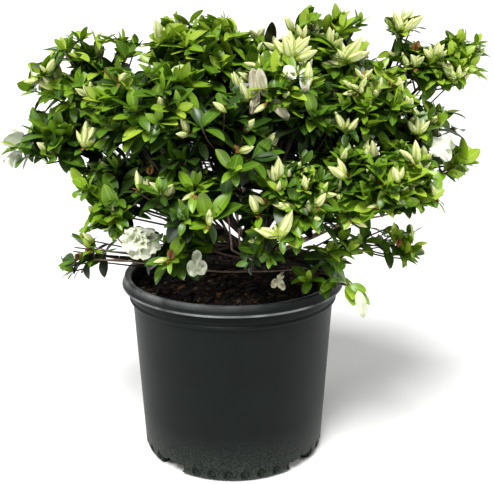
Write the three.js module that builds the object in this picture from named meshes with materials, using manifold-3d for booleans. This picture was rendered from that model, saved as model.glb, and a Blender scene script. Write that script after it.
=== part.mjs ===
// A white evergreen azalea in a three-gallon nursery pot.
// Millimetres, +Z up, -Y to the front. The origin is the middle of the pot's flat underside.
import * as THREE from "three";
import { mergeVertices } from "three/addons/utils/BufferGeometryUtils.js";
import Module from "manifold-3d";

const wasm = await Module();
wasm.setup();

// ---- Driving dimensions ----
const POT_HEIGHT = 235;
const RIM_RADIUS = 140;
const RIM_DROP = 13; // height of the rolled rim's skirt
const COLLAR_STEP = 3.4; // how far the collar stands out from the wall below it
const COLLAR_DROP = 31; // from the rim's top down to where the collar steps in to the wall
const WALL_TOP_RADIUS = 127.4;
const WALL_FOOT_RADIUS = 117;
const WALL = 2.3;
const POT_SIDES = 36;
const SOIL_SIDES = 28;
const FLOOR = 4.5;
const FOOT_RADIUS = 107; // where the flat underside meets the rounded bottom edge
const DRAIN_SLOTS = 4;
const DRAIN_HEIGHT = 14;
const DRAIN_WIDTH = 36;
const DRAIN_REACH = 88; // how near the slots come to the pot's axis
const DRAIN_TURN = THREE.MathUtils.degToRad(3); // how far the slots are turned off the diagonals
const SOIL_TOP = 224; // the level patch that the plant stands on
const SOIL_EDGE = 213;
const SOIL_LEVEL_RADIUS = 58;
const GAP = 0.3; // clearance between two pieces that touch
const TRUNK_FOOT = new THREE.Vector3(32, 14, SOIL_TOP + GAP);
const TRUNK_TOP = new THREE.Vector3(25, 11, 266);
const TRUNK_RADIUS = 8;
const TRUNK_FLARE = 6; // how far the root flare stands out beyond that
const BOUGH_TIP = 1.9;
const LEAF_LENGTH = 50;
const LEAF_WIDTH = 28;
const LEAF_THICKNESS = 1.3;
const BUD_LENGTH = 30;
const BUD_WIDTH = 12;
const PETAL_LENGTH = 34;
const PETAL_WIDTH = 26;
const STEM_RADIUS = 1.9;
const SHOOT_RADIUS = 1;
const SHOOT_END_RADIUS = 2.2; // a shoot swells to its end bud, where the leaves are rooted
const RETRY_SHRINK = 0.17; // how much smaller a blade is at each new try to fit it in
const LEAF_STEP = 1.7; // how far each root in a whorl sits behind the one before
const LEAF_INSET = 27; // a shoot ends this far inside its mass's edge, so that leaf tips reach it

const UP = new THREE.Vector3(0, 0, 1);
const CROWN_MIDDLE = new THREE.Vector3(10, 0, 330);
const FULLNESS = 1.14; // how far the masses swell inwards, until they press on one another
const LEAST_SPREAD = new THREE.Vector3(9, 9, 9);
const SEED = 5; // another seed grows another plant to the same plan
const GOLDEN_ANGLE = Math.PI * (3 - Math.sqrt(5));
const TURN = 2 * Math.PI;

const MATERIALS = {
  pot: new THREE.MeshStandardMaterial({ name: "pot", color: 0x303433, roughness: 0.5 }),
  soil: new THREE.MeshStandardMaterial({ name: "soil", color: 0x2a1b10, roughness: 1 }),
  bark: new THREE.MeshStandardMaterial({ name: "bark", color: 0x5a4636, roughness: 0.9 }),
  leaves: new THREE.MeshStandardMaterial({ name: "leaves", color: 0x4f8a1e, roughness: 0.55 }),
};

// The masses of foliage: where each has its middle, its half sizes, how many shoots it has, and how
// many of every ten shoots end in flower buds. A bloom is the way to an open flower from the middle.
const MASSES = [
  { name: "top_left", middle: [-168, -28, 478], half: [74, 58, 47], shoots: 7, budded: 3 },
  { name: "left", middle: [-206, -18, 404], half: [72, 56, 42], shoots: 6, budded: 4, bloom: [-1, -0.1, -0.15] },
  { name: "left_low", middle: [-142, -62, 345], half: [62, 50, 40], shoots: 6, budded: 4 },
  { name: "left_sprig", middle: [-186, -12, 257], half: [36, 26, 34], shoots: 3, budded: 7 },
  { name: "crown_left", middle: [-86, -112, 450], half: [66, 54, 52], shoots: 6, budded: 1 },
  { name: "top", middle: [-38, -18, 498], half: [74, 60, 52], shoots: 8, budded: 1 },
  { name: "crown_front", middle: [-14, -136, 418], half: [62, 54, 48], shoots: 6, budded: 3 },
  { name: "front_low", middle: [-52, -142, 352], half: [60, 48, 40], shoots: 6, budded: 2 },
  { name: "front_skirt", middle: [-62, -104, 294], half: [52, 40, 38], shoots: 5, budded: 4, bloom: [-1, 0.1, 0.1] },
  { name: "top_right", middle: [104, -26, 502], half: [64, 56, 58], shoots: 8, budded: 8 },
  { name: "crown_right", middle: [58, -92, 462], half: [56, 48, 48], shoots: 6, budded: 4, bloom: [-0.5, -1, 0.2] },
  { name: "right_peak", middle: [203, 2, 528], half: [30, 28, 28], shoots: 3, budded: 9 },
  { name: "right_top", middle: [246, -10, 486], half: [58, 46, 42], shoots: 6, budded: 5 },
  { name: "right_upper", middle: [158, -60, 452], half: [52, 48, 42], shoots: 6, budded: 5 },
  { name: "right", middle: [236, -12, 402], half: [66, 52, 44], shoots: 6, budded: 5, bloom: [0.5, -0.6, 0.1] },
  { name: "right_front", middle: [166, -92, 370], half: [66, 50, 42], shoots: 6, budded: 5 },
  { name: "right_low", middle: [182, -22, 280], half: [66, 46, 32], shoots: 5, budded: 2 },
  { name: "right_skirt", middle: [122, -88, 256], half: [54, 42, 40], shoots: 5, budded: 2, bloom: [0.7, -0.5, -1] },
  { name: "front_right", middle: [66, -130, 344], half: [56, 44, 48], shoots: 6, budded: 7 },
  { name: "back_left", middle: [-146, 96, 428], half: [74, 62, 60], shoots: 6, budded: 3 },
  { name: "back", middle: [-26, 132, 452], half: [72, 60, 62], shoots: 6, budded: 2 },
  { name: "back_right", middle: [114, 108, 444], half: [74, 62, 64], shoots: 6, budded: 4 },
  { name: "back_left_low", middle: [-106, 132, 336], half: [64, 52, 46], shoots: 5, budded: 2 },
  { name: "back_low", middle: [24, 166, 342], half: [64, 50, 48], shoots: 5, budded: 3 },
  { name: "back_right_low", middle: [166, 106, 338], half: [64, 52, 48], shoots: 5, budded: 3 },
  { name: "heart", middle: [22, 8, 420], half: [62, 58, 54], shoots: 3, budded: 0 },
];

// The boughs: each leads to the mass of its name. It leaves its parent at a share of the parent's
// length, as steep as its rise in degrees, and is as thick there as its radius.
const BOUGHS = [
  { to: "left", from: "trunk", at: 0.62, rise: 34, radius: 3.6 },
  { to: "left_sprig", from: "trunk", at: 0.22, rise: 6, radius: 2.6 },
  { to: "crown_left", from: "trunk", at: 0.84, rise: 50, radius: 3.4 },
  { to: "top", from: "trunk", at: 0.97, rise: 76, radius: 3.6 },
  { to: "front_low", from: "trunk", at: 0.55, rise: 40, radius: 3.1 },
  { to: "top_right", from: "trunk", at: 0.93, rise: 66, radius: 3.4 },
  { to: "right_top", from: "trunk", at: 0.74, rise: 46, radius: 3.6 },
  { to: "right", from: "trunk", at: 0.52, rise: 30, radius: 3.4 },
  { to: "right_low", from: "trunk", at: 0.33, rise: 14, radius: 3 },
  { to: "front_right", from: "trunk", at: 0.66, rise: 38, radius: 3.1 },
  { to: "back_left", from: "trunk", at: 0.8, rise: 46, radius: 3.4 },
  { to: "back", from: "trunk", at: 0.88, rise: 56, radius: 3.4 },
  { to: "back_right", from: "trunk", at: 0.7, rise: 50, radius: 3.4 },
  { to: "top_left", from: "left", at: 0.42, rise: 60, radius: 2.9 },
  { to: "left_low", from: "left", at: 0.3, rise: 18, radius: 2.6 },
  { to: "crown_front", from: "crown_left", at: 0.34, rise: 46, radius: 2.6 },
  { to: "front_skirt", from: "front_low", at: 0.3, rise: 4, radius: 2.5 },
  { to: "crown_right", from: "top_right", at: 0.4, rise: 50, radius: 2.6 },
  { to: "right_upper", from: "right_top", at: 0.36, rise: 60, radius: 2.6 },
  { to: "right_peak", from: "right_top", at: 0.7, rise: 70, radius: 2.5 },
  { to: "right_front", from: "right", at: 0.34, rise: 26, radius: 2.6 },
  { to: "right_skirt", from: "right_low", at: 0.34, rise: 10, radius: 2.5 },
  { to: "back_left_low", from: "back_left", at: 0.3, rise: 20, radius: 2.6 },
  { to: "back_low", from: "back", at: 0.28, rise: 20, radius: 2.6 },
  { to: "back_right_low", from: "back_right", at: 0.3, rise: 20, radius: 2.6 },
  { to: "heart", from: "top", at: 0.3, rise: 70, radius: 2.5 },
];

// ---- Solids ----
function solid(geometry) {
  geometry.deleteAttribute("normal");
  geometry.deleteAttribute("uv");
  const merged = mergeVertices(geometry, 1e-4);
  return new wasm.Manifold(
    new wasm.Mesh({
      numProp: 3,
      vertProperties: merged.attributes.position.array,
      triVerts: Uint32Array.from(merged.index.array),
    }),
  );
}

function largest(shape) {
  return shape.decompose().reduce((a, b) => (a.volume() > b.volume() ? a : b));
}

function node(name, shape, material) {
  const { vertProperties, triVerts } = shape.getMesh();
  const geometry = new THREE.BufferGeometry();
  geometry.setAttribute("position", new THREE.BufferAttribute(vertProperties, 3));
  geometry.setIndex(new THREE.BufferAttribute(triVerts, 1));
  const flat = geometry.toNonIndexed();
  flat.computeVertexNormals();
  const mesh = new THREE.Mesh(flat, material);
  mesh.name = name;
  return mesh;
}

function seededRandom(seed) {
  let state = Math.imul(seed, 2654435761) >>> 0;
  return () => {
    state = (Math.imul(state, 1664525) + 1013904223) >>> 0;
    return state / 4294967296;
  };
}

// A shape turned on the pot's axis from points of radius and height.
function turned(points, segments) {
  const profile = points.map(([r, z]) => new THREE.Vector2(r, z));
  return solid(new THREE.LatheGeometry(profile, segments).rotateX(Math.PI / 2));
}

// The boxes that open the drain slots, each from outside the wall in under the pot.
function drainSlots(extra) {
  const depth = RIM_RADIUS - DRAIN_REACH + 2 * extra;
  const boxes = [];
  for (let i = 0; i < DRAIN_SLOTS; i++) {
    const slot = new THREE.BoxGeometry(DRAIN_WIDTH + 2 * extra, depth, 2 * (DRAIN_HEIGHT + extra));
    slot.translate(0, -(RIM_RADIUS + DRAIN_REACH) / 2, 0);
    slot.rotateZ(((i + 0.5) * TURN) / DRAIN_SLOTS + DRAIN_TURN);
    boxes.push(solid(slot));
  }
  return wasm.Manifold.union(boxes);
}

// ---- The pot: one wall with a rolled rim, a stacking collar and a slotted foot ----
function makePot() {
  const collarFoot = POT_HEIGHT - COLLAR_DROP;
  const collarRadius = WALL_TOP_RADIUS + COLLAR_STEP;
  const skirtFoot = POT_HEIGHT - RIM_DROP;
  const points = [
    [0, 0],
    [FOOT_RADIUS, 0],
    [FOOT_RADIUS + 5.5, 2.5],
    [WALL_FOOT_RADIUS - 1, 8],
    [WALL_FOOT_RADIUS, 14],
    [WALL_TOP_RADIUS, collarFoot],
    [collarRadius - 0.8, collarFoot + 3],
    [collarRadius, POT_HEIGHT - 3],
    [RIM_RADIUS - 2.6, POT_HEIGHT - 3],
    [RIM_RADIUS - 2.6, skirtFoot + 0.8],
    [RIM_RADIUS - 1.2, skirtFoot],
    [RIM_RADIUS, skirtFoot + 1.2],
    [RIM_RADIUS, skirtFoot + 3],
    [RIM_RADIUS - 3, POT_HEIGHT - 0.8],
    [RIM_RADIUS - 4.5, POT_HEIGHT],
    [collarRadius - 0.5, POT_HEIGHT],
    [collarRadius - WALL, POT_HEIGHT - 2],
    [collarRadius - WALL, collarFoot + 3],
    [WALL_TOP_RADIUS - WALL, collarFoot],
    [WALL_FOOT_RADIUS - WALL, 14],
    [FOOT_RADIUS + 2, FLOOR],
    [0, FLOOR],
  ];
  return largest(turned(points, POT_SIDES).subtract(drainSlots(0)));
}

// ---- The potting mix: it fills the pot but for the slots, level round the stems, lower at the wall ----
function makeSoil() {
  const inner = (z) => {
    const share = (z - 14) / (POT_HEIGHT - COLLAR_DROP - 14);
    return THREE.MathUtils.lerp(WALL_FOOT_RADIUS, WALL_TOP_RADIUS, share) - WALL - 2 * GAP;
  };
  const collarFoot = POT_HEIGHT - COLLAR_DROP;
  const fill = turned(
    [
      [0, FLOOR + GAP],
      [FOOT_RADIUS, FLOOR + GAP],
      [inner(16), 16],
      [inner(collarFoot - 2), collarFoot - 2],
      [inner(collarFoot) - 0.5, SOIL_EDGE],
      [(SOIL_LEVEL_RADIUS + WALL_TOP_RADIUS) / 2, (SOIL_EDGE + SOIL_TOP) / 2 + 2],
      [SOIL_LEVEL_RADIUS, SOIL_TOP],
      [0, SOIL_TOP],
    ],
    SOIL_SIDES,
  );
  return largest(fill.subtract(drainSlots(GAP)));
}

// ---- Trunk and boughs ----
// A limb is a cylinder bent along its curve, with a radius for each share of its length.
class Limb {
  constructor(name, curve, radius, sides, steps) {
    Object.assign(this, { name, curve, radius, sides, steps });
    this.points = curve.getSpacedPoints(16);
  }

  shape(extra = 0) {
    const geometry = new THREE.CylinderGeometry(1, 1, 1, this.sides, this.steps);
    const frames = this.curve.computeFrenetFrames(this.steps);
    const position = geometry.attributes.position;
    for (let i = 0; i < position.count; i++) {
      const step = Math.round((position.getY(i) + 0.5) * this.steps);
      const share = step / this.steps;
      const width = this.radius(share) + extra;
      const point = this.curve
        .getPointAt(share)
        .addScaledVector(frames.normals[step], position.getZ(i) * width)
        .addScaledVector(frames.binormals[step], position.getX(i) * width);
      position.setXYZ(i, ...point);
    }
    return solid(geometry);
  }

  // How far a point is from the limb's surface.
  clearance(point) {
    let least = Infinity;
    const line = new THREE.Line3();
    const nearest = new THREE.Vector3();
    const last = this.points.length - 1;
    for (let i = 0; i < last; i++) {
      line.set(this.points[i], this.points[i + 1]);
      const share = line.closestPointToPointParameter(point, true);
      line.at(share, nearest);
      least = Math.min(least, nearest.distanceTo(point) - this.radius((i + share) / last));
    }
    return least;
  }
}

function makeTrunk() {
  const rise = TRUNK_TOP.z - TRUNK_FOOT.z;
  const lift = new THREE.Vector3(0, 0, rise / 2);
  const bend = TRUNK_FOOT.clone().add(lift);
  const curve = new THREE.QuadraticBezierCurve3(TRUNK_FOOT, bend, TRUNK_TOP);
  const radius = (share) => TRUNK_RADIUS * (1 - 0.25 * share) + TRUNK_FLARE * (1 - share) ** 4;
  return new Limb("trunk", curve, radius, 10, 6);
}

// The planes that part a mass from its neighbours, each by the two masses' sizes along the line
// between their middles.
function partings(mass) {
  const halfAlong = (m, way) => m.half.clone().multiply(way).length();
  return MASSES.filter((other) => other !== mass).map((other) => {
    const way = other.middle.clone().sub(mass.middle);
    const distance = way.length();
    way.normalize();
    const own = halfAlong(mass, way);
    const share = own / (own + halfAlong(other, way));
    return { way, offset: way.dot(mass.middle) + distance * share };
  });
}

function insideMass(mass, point, margin) {
  const local = point.clone().sub(mass.middle).divide(mass.half);
  return local.length() < 1.02 && mass.planes.every((p) => p.way.dot(point) < p.offset - margin);
}

// Where a bough from a point enters a mass: on the line to the middle, at the edge of its space.
function entryPoint(mass, from) {
  const way = from.clone().sub(mass.middle).normalize();
  let out = 0;
  const point = mass.middle.clone();
  while (insideMass(mass, point, 4) && out < 0.94 / way.clone().divide(mass.half).length()) {
    out += 1;
    point.addScaledVector(way, 1);
  }
  return point;
}

function makeBough(row, limbs) {
  const parent = limbs.get(row.from);
  const mass = MASSES.find((m) => m.name === row.to);
  const root = parent.curve.getPointAt(row.at);
  const tip = entryPoint(mass, root);
  const length = tip.distanceTo(root);
  const rise = THREE.MathUtils.degToRad(row.rise);
  const away = tip.clone().sub(root).setZ(0).normalize();
  const leaving = away.multiplyScalar(Math.cos(rise)).addScaledVector(UP, Math.sin(rise));
  const arriving = mass.middle.clone().sub(tip).normalize();
  const curve = new THREE.CubicBezierCurve3(
    root,
    root.clone().addScaledVector(leaving, 0.36 * length),
    tip.clone().addScaledVector(arriving, -0.3 * length),
    tip,
  );
  mass.entry = tip;
  mass.inward = arriving;
  const radius = (share) => THREE.MathUtils.lerp(row.radius, BOUGH_TIP, share ** 0.8);
  return new Limb(row.to, curve, radius, 5, Math.max(4, Math.round(length / 38)));
}

// ---- Foliage ----
// A twig is a three-sided peg from one point to another.
function twig(from, to, width, tipWidth) {
  const geometry = new THREE.CylinderGeometry(tipWidth, width, from.distanceTo(to), 3);
  geometry.applyQuaternion(turnTo(to.clone().sub(from)));
  return solid(geometry.translate(...from.clone().add(to).divideScalar(2)));
}

function turnTo(way) {
  const y = new THREE.Vector3(0, 1, 0);
  return new THREE.Quaternion().setFromUnitVectors(y, way.clone().normalize());
}

// A six-faced blade: a root, a tip, two edges and a keel below, widest past half way.
function blade(root, way, face, length, width, thickness) {
  const geometry = new THREE.SphereGeometry(1, 3, 2);
  const side = new THREE.Vector3().crossVectors(face, way).normalize();
  const top = new THREE.Vector3().crossVectors(way, side);
  const widest = 0.54;
  const position = geometry.attributes.position;
  for (let i = 0; i < position.count; i++) {
    const along = position.getY(i);
    const share = along < -0.5 ? 0 : along > 0.5 ? 1 : widest;
    const point = root
      .clone()
      .addScaledVector(way, share * length)
      .addScaledVector(side, (position.getZ(i) * width) / Math.sqrt(3))
      .addScaledVector(top, (position.getX(i) * thickness) / 1.5);
    position.setXYZ(i, ...point);
  }
  return { geometry, root, way, length, width };
}

const leaf = (root, way, face, size) =>
  blade(root, way, face, LEAF_LENGTH * size, LEAF_WIDTH * size, LEAF_THICKNESS);
const bud = (root, way, face, size) =>
  blade(root, way, face, BUD_LENGTH * size, BUD_WIDTH * size, BUD_WIDTH * size);
const petal = (root, way, face, size) =>
  blade(root, way, face, PETAL_LENGTH * size, PETAL_WIDTH * size, LEAF_THICKNESS);

function makeMass(mass, limbs, number) {
  const random = seededRandom(number + SEED);
  const foot = mass.entry.clone().addScaledVector(mass.inward, GAP);
  const shoots = [];
  const grown = [{ shape: twig(foot, mass.middle, BOUGH_TIP, STEM_RADIUS) }];

  const clearOfLimbs = (point, margin) => limbs.every((limb) => limb.clearance(point) > margin);
  const clearOfPot = (point) =>
    point.z > POT_HEIGHT + 4 || Math.hypot(point.x, point.y) > RIM_RADIUS + 4;

  // One shoot from a share of the stem to a point in the mass's space.
  function shoot(share, way, budded, blooming) {
    const fork = foot.clone().lerp(mass.middle, share);
    const spread = mass.half.clone().subScalar(LEAF_INSET).max(LEAST_SPREAD);
    const end = way.clone().multiply(spread).add(mass.middle);
    const path = end.clone().sub(fork);
    const onTheWay = [0.25, 0.5, 0.75, 1].map((s) => fork.clone().addScaledVector(path, s));
    if (!onTheWay.every((point) => clearOfPot(point) && clearOfLimbs(point, 3))) return;
    if (!insideMass(mass, end, SHOOT_END_RADIUS + 1)) return;
    const from = { end, back: path.normalize().negate(), budded, blooming };
    shoots.push(from);
    grown.push({ shape: twig(fork, end, SHOOT_RADIUS, SHOOT_END_RADIUS), from });
  }

  function fits(piece) {
    const position = piece.geometry.attributes.position;
    for (let i = 0; i < position.count; i++) {
      const point = new THREE.Vector3().fromBufferAttribute(position, i);
      if (!insideMass(mass, point, 0.6) && point.distanceTo(piece.root) > 0.01) return false;
      if (!clearOfPot(point)) return false;
    }
    return [0.15, 0.4, 0.65, 0.95].every((share) => {
      const point = piece.root.clone().addScaledVector(piece.way, share * piece.length);
      return clearOfLimbs(point, (piece.width / 2) * Math.sin(Math.PI * share) + 1);
    });
  }

  // A piece stays where it fits and crosses nothing that grows from elsewhere.
  function add(piece, from) {
    if (!fits(piece)) return false;
    const shape = solid(piece.geometry);
    const crosses = (other) => other.from !== from && !shape.intersect(other.shape).isEmpty();
    if (grown.some(crosses)) return false;
    grown.push({ shape, from });
    return true;
  }

  // Blades in a ring round a shoot's end, leaning out from its axis, each rooted a step further back.
  function whorl(from, start, count, lean, make) {
    const axis = UP.clone().multiplyScalar(0.7).sub(from.back).normalize();
    const turn = random() * TURN;
    for (let i = 0; i < count; i++) {
      for (let attempt = 0; attempt < 3; attempt++) {
        const round = turn + (i * TURN) / count + (random() - 0.5) * 0.9;
        const tilt = THREE.MathUtils.degToRad(lean + (random() - 0.5) * 24);
        const side = new THREE.Vector3(1, 0, 0).cross(axis).normalize();
        side.applyAxisAngle(axis, round);
        const way = axis.clone().multiplyScalar(Math.cos(tilt));
        way.addScaledVector(side, Math.sin(tilt)).normalize();
        const root = from.end.clone().addScaledVector(from.back, start + i * LEAF_STEP);
        const size = (0.85 + 0.3 * random()) * (1 - RETRY_SHRINK * attempt);
        if (add(make(root, way, axis.clone().add(UP), size), from)) break;
      }
    }
  }

  const outward = mass.middle.clone().sub(TRUNK_TOP).normalize().add(UP).normalize();
  const toOutward = new THREE.Quaternion().setFromUnitVectors(UP, outward);
  for (let i = 0; i < mass.shoots; i++) {
    const height = 1 - ((i + 0.5) / mass.shoots) * 1.55; // from straight out to well below the sides
    const round = i * GOLDEN_ANGLE + random() * 0.7;
    const across = Math.sqrt(1 - height * height);
    const way = new THREE.Vector3(across * Math.cos(round), across * Math.sin(round), height);
    const share = 0.97 - (0.7 * i) / mass.shoots; // the outermost leave nearest the stem's end
    shoot(share, way.applyQuaternion(toOutward), (i * 3 + number) % 10 < mass.budded, false);
  }
  if (mass.bloom) shoot(0.62, new THREE.Vector3(...mass.bloom).normalize(), false, true);

  for (const from of shoots) {
    if (from.budded) whorl(from, 1, 2, 22, bud);
    if (from.blooming) whorl(from, 1, 5, 50, petal);
    whorl(from, 4, from.budded ? 3 : 4, 62, leaf);
  }
  return largest(wasm.Manifold.union(grown.map((piece) => piece.shape)).simplify(0.02));
}

// ---- Assembly ----
for (const mass of MASSES) {
  mass.middle = new THREE.Vector3(...mass.middle);
  mass.half = new THREE.Vector3(...mass.half);
  const out = mass.middle.clone().sub(CROWN_MIDDLE).normalize().multiply(mass.half);
  mass.middle.addScaledVector(out, 1 - FULLNESS);
  mass.half.multiplyScalar(FULLNESS);
}
for (const mass of MASSES) mass.planes = partings(mass);

const plant = new THREE.Group();
plant.name = "azalea";
plant.add(node("pot", makePot(), MATERIALS.pot));
plant.add(node("soil", makeSoil(), MATERIALS.soil));

const limbs = new Map([["trunk", makeTrunk()]]);
plant.add(node("trunk", limbs.get("trunk").shape(), MATERIALS.bark));
for (const row of BOUGHS) {
  const bough = makeBough(row, limbs);
  let shape = bough.shape();
  for (const other of limbs.values()) shape = shape.subtract(other.shape(GAP));
  limbs.set(row.to, bough);
  plant.add(node("bough_" + row.to, largest(shape), MATERIALS.bark));
}

MASSES.forEach((mass, number) => {
  const shape = makeMass(mass, [...limbs.values()], number);
  plant.add(node("foliage_" + mass.name, shape, MATERIALS.leaves));
});

export default plant;
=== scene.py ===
"""A white evergreen azalea in bud, in its three-gallon nursery pot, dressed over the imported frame."""

import math

import bpy
import numpy as np
from mathutils import Matrix, Vector, noise


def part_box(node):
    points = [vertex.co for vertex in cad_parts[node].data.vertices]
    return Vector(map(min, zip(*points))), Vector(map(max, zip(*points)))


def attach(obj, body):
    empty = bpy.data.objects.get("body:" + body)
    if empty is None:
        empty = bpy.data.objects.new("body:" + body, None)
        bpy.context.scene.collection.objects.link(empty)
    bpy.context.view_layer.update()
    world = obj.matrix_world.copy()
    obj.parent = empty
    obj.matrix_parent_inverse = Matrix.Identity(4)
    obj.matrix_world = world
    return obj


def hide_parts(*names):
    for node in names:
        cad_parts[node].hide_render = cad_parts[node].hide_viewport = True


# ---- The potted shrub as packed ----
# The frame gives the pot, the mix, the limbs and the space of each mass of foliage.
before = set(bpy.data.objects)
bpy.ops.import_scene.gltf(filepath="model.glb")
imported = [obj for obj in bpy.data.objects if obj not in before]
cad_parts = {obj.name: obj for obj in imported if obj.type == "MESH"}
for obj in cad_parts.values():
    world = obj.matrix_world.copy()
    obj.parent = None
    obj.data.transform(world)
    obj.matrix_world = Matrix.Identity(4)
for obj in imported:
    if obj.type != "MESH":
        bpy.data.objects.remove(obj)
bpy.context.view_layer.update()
bpy.ops.object.select_all(action="DESELECT")
MM = 0.001
TURN = 2 * math.pi

# ---- Camera ----
# A camera as high as the crown's top, a metre from the pot, tilted down so that the mix shows behind the
# rim.
CAMERA_PLACE = (0.018, -0.972, 0.542)
CAMERA_TILT = 15.53
CAMERA_LENS = 58.2
CAMERA_SENSOR = 36
camera_data = bpy.data.cameras.new("camera")
camera_data.lens = CAMERA_LENS
camera_data.sensor_width = CAMERA_SENSOR
camera = bpy.data.objects.new("camera", camera_data)
camera.location = CAMERA_PLACE
camera.rotation_euler = (math.radians(90 - CAMERA_TILT), 0, 0)
bpy.context.scene.collection.objects.link(camera)
bpy.context.scene.camera = camera


# ---- The pot ----
# A thin nursery pot, injection moulded in recycled black polyethylene: a rolled rim, a stacking collar
# under it, a tapered wall, and a foot ribbed with shallow dimples between four drain slots.
def linear(sRGB):
    """An sRGB hex colour as the linear colour that a shader socket takes."""
    channels = [int(sRGB[i : i + 2], 16) / 255 for i in (1, 3, 5)]
    return [c / 12.92 if c <= 0.04045 else ((c + 0.055) / 1.055) ** 2.4 for c in channels] + [1.0]


def add_node(tree, kind, settings=None, links=None):
    """Adds a shader node, sets its sockets and properties by name, and links its inputs."""
    made = tree.nodes.new(kind)
    for name, value in (settings or {}).items():
        if isinstance(name, int) or name in made.inputs:
            made.inputs[name].default_value = value
        else:
            setattr(made, name, value)
    for name, source in (links or {}).items():
        tree.links.new(source, made.inputs[name])
    return made


def new_material(name):
    """An empty material with its output and one principled shader."""
    material = bpy.data.materials.new(name)
    material.use_nodes = True
    tree = material.node_tree
    tree.nodes.clear()
    shader = add_node(tree, "ShaderNodeBsdfPrincipled")
    add_node(tree, "ShaderNodeOutputMaterial", links={"Surface": shader.outputs["BSDF"]})
    return material, tree, shader


def patches(tree, size, dark_sRGB, sRGB, detail, roughness=0.5):
    """Uneven colour in patches of a real size: the colour's socket, and that of how light a place is."""
    place = add_node(tree, "ShaderNodeTexCoord").outputs["Object"]
    grain = {"Scale": 1 / size, "Detail": detail, "Roughness": roughness}
    light = add_node(tree, "ShaderNodeTexNoise", grain, {"Vector": place}).outputs["Fac"]
    ends = {"data_type": "RGBA", 6: linear(dark_sRGB), 7: linear(sRGB)}
    return add_node(tree, "ShaderNodeMix", ends, {0: light}).outputs[2], light


POT_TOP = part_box("pot")[1]
RIM_RADIUS = POT_TOP.x
POT_HEIGHT = POT_TOP.z
POT_SEGMENTS = 576
COLLAR_FOOT = POT_HEIGHT - 31 * MM
COLLAR_RADIUS = 130.8 * MM
WALL_TOP_RADIUS = 127.4 * MM
WALL_FOOT_RADIUS = 117 * MM
WALL_START = 14 * MM  # where the foot's curve ends and the straight taper starts
WALL = 2.3 * MM
SKIRT_FOOT = POT_HEIGHT - 13 * MM
SKIRT_THICK = 3 * MM
SKIRT_ROUNDING = 1.4 * MM
CREST_ROUNDING = 1.8 * MM
FOOT_ROUNDING = 10 * MM
POT_FLOOR = 4.5 * MM
FLOOR_DISC = 60 * MM  # the flat disc that closes the floor above and below
# Heights up the wall, and steps out and up round the collar's bead and groove, in millimetres.
WALL_STATIONS = (8.6, 9.6, 10.6, 11.6, 12.6, 13.6, 14.6, 16, 20, 30, 70, 120, 170, 198)
COLLAR_STEPS = (
    (0.2, 0.5), (0.8, 1.4), (0.9, 2.4), (0.5, 3.4), (-0.5, 4.4), (-0.7, 6), (0.3, 7.6), (0.4, 9), (-0.6, 16)
)


def wall_radius(height):
    """The tapered wall's outside at a height."""
    share = (height - WALL_START) / (COLLAR_FOOT - WALL_START)
    return WALL_FOOT_RADIUS + (WALL_TOP_RADIUS - WALL_FOOT_RADIUS) * share


def arc(centre_r, centre_z, radius, start, end, steps):
    """Points of radius and height round a corner, between two angles in degrees."""
    angles = [math.radians(start + (end - start) * i / steps) for i in range(steps + 1)]
    return [(centre_r + radius * math.cos(a), centre_z + radius * math.sin(a)) for a in angles]


def steps_from(radius, height, steps):
    """Profile points given in millimetres from a radius and a height."""
    return [(radius + r * MM, height + z * MM) for r, z in steps]


# The foot and the wall, the collar with its bead and groove, the rim's thin skirt, its rolled lower lip,
# its sloping face and its crest, and then the inside.
pot_profile = [(FLOOR_DISC, 0), (105 * MM, 0)]
pot_profile += arc(106.5 * MM, FOOT_ROUNDING, FOOT_ROUNDING, -88, -14, 14)
pot_profile += [(wall_radius(h * MM), h * MM) for h in WALL_STATIONS]
pot_profile += steps_from(WALL_TOP_RADIUS, COLLAR_FOOT, ((-0.1, -0.4), (0.3, 0)))
pot_profile += steps_from(COLLAR_RADIUS, COLLAR_FOOT, COLLAR_STEPS)
pot_profile += [(COLLAR_RADIUS - 0.6 * MM, POT_HEIGHT - 4 * MM)]
pot_profile += [(RIM_RADIUS - SKIRT_THICK, POT_HEIGHT - 4.4 * MM)]
pot_profile += arc(RIM_RADIUS - SKIRT_ROUNDING, SKIRT_FOOT + SKIRT_ROUNDING, SKIRT_ROUNDING, -175, 10, 7)
pot_profile += steps_from(RIM_RADIUS, SKIRT_FOOT, ((-0.15, 2.8), (-0.7, 3.8), (-1.3, 4.8), (-3.1, 10.4)))
pot_profile += arc(RIM_RADIUS - 4.9 * MM, POT_HEIGHT - CREST_ROUNDING, CREST_ROUNDING, 12, 100, 6)
pot_profile += steps_from(COLLAR_RADIUS, POT_HEIGHT, ((1.4, -0.3), (-0.6, -0.9), (-1.8, -2.2)))
pot_profile += [(COLLAR_RADIUS - WALL, POT_HEIGHT - 5 * MM), (COLLAR_RADIUS - WALL, COLLAR_FOOT + 3 * MM)]
pot_profile += [(WALL_TOP_RADIUS - WALL, COLLAR_FOOT)]
pot_profile += [(wall_radius(h * MM) - WALL, h * MM) for h in (160, 110, 60, 14)]
pot_profile += [(109 * MM, POT_FLOOR), (FLOOR_DISC, POT_FLOOR)]


def select_points(piece, chosen):
    """In edit mode, selects the points that a test picks and the edges between them."""
    bpy.ops.mesh.select_all(action="DESELECT")
    bpy.ops.object.mode_set(mode="OBJECT")
    for vertex in piece.data.vertices:
        vertex.select = chosen(vertex)
    for edge in piece.data.edges:
        edge.select = all(piece.data.vertices[i].select for i in edge.vertices)
    bpy.ops.object.mode_set(mode="EDIT")


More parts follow.
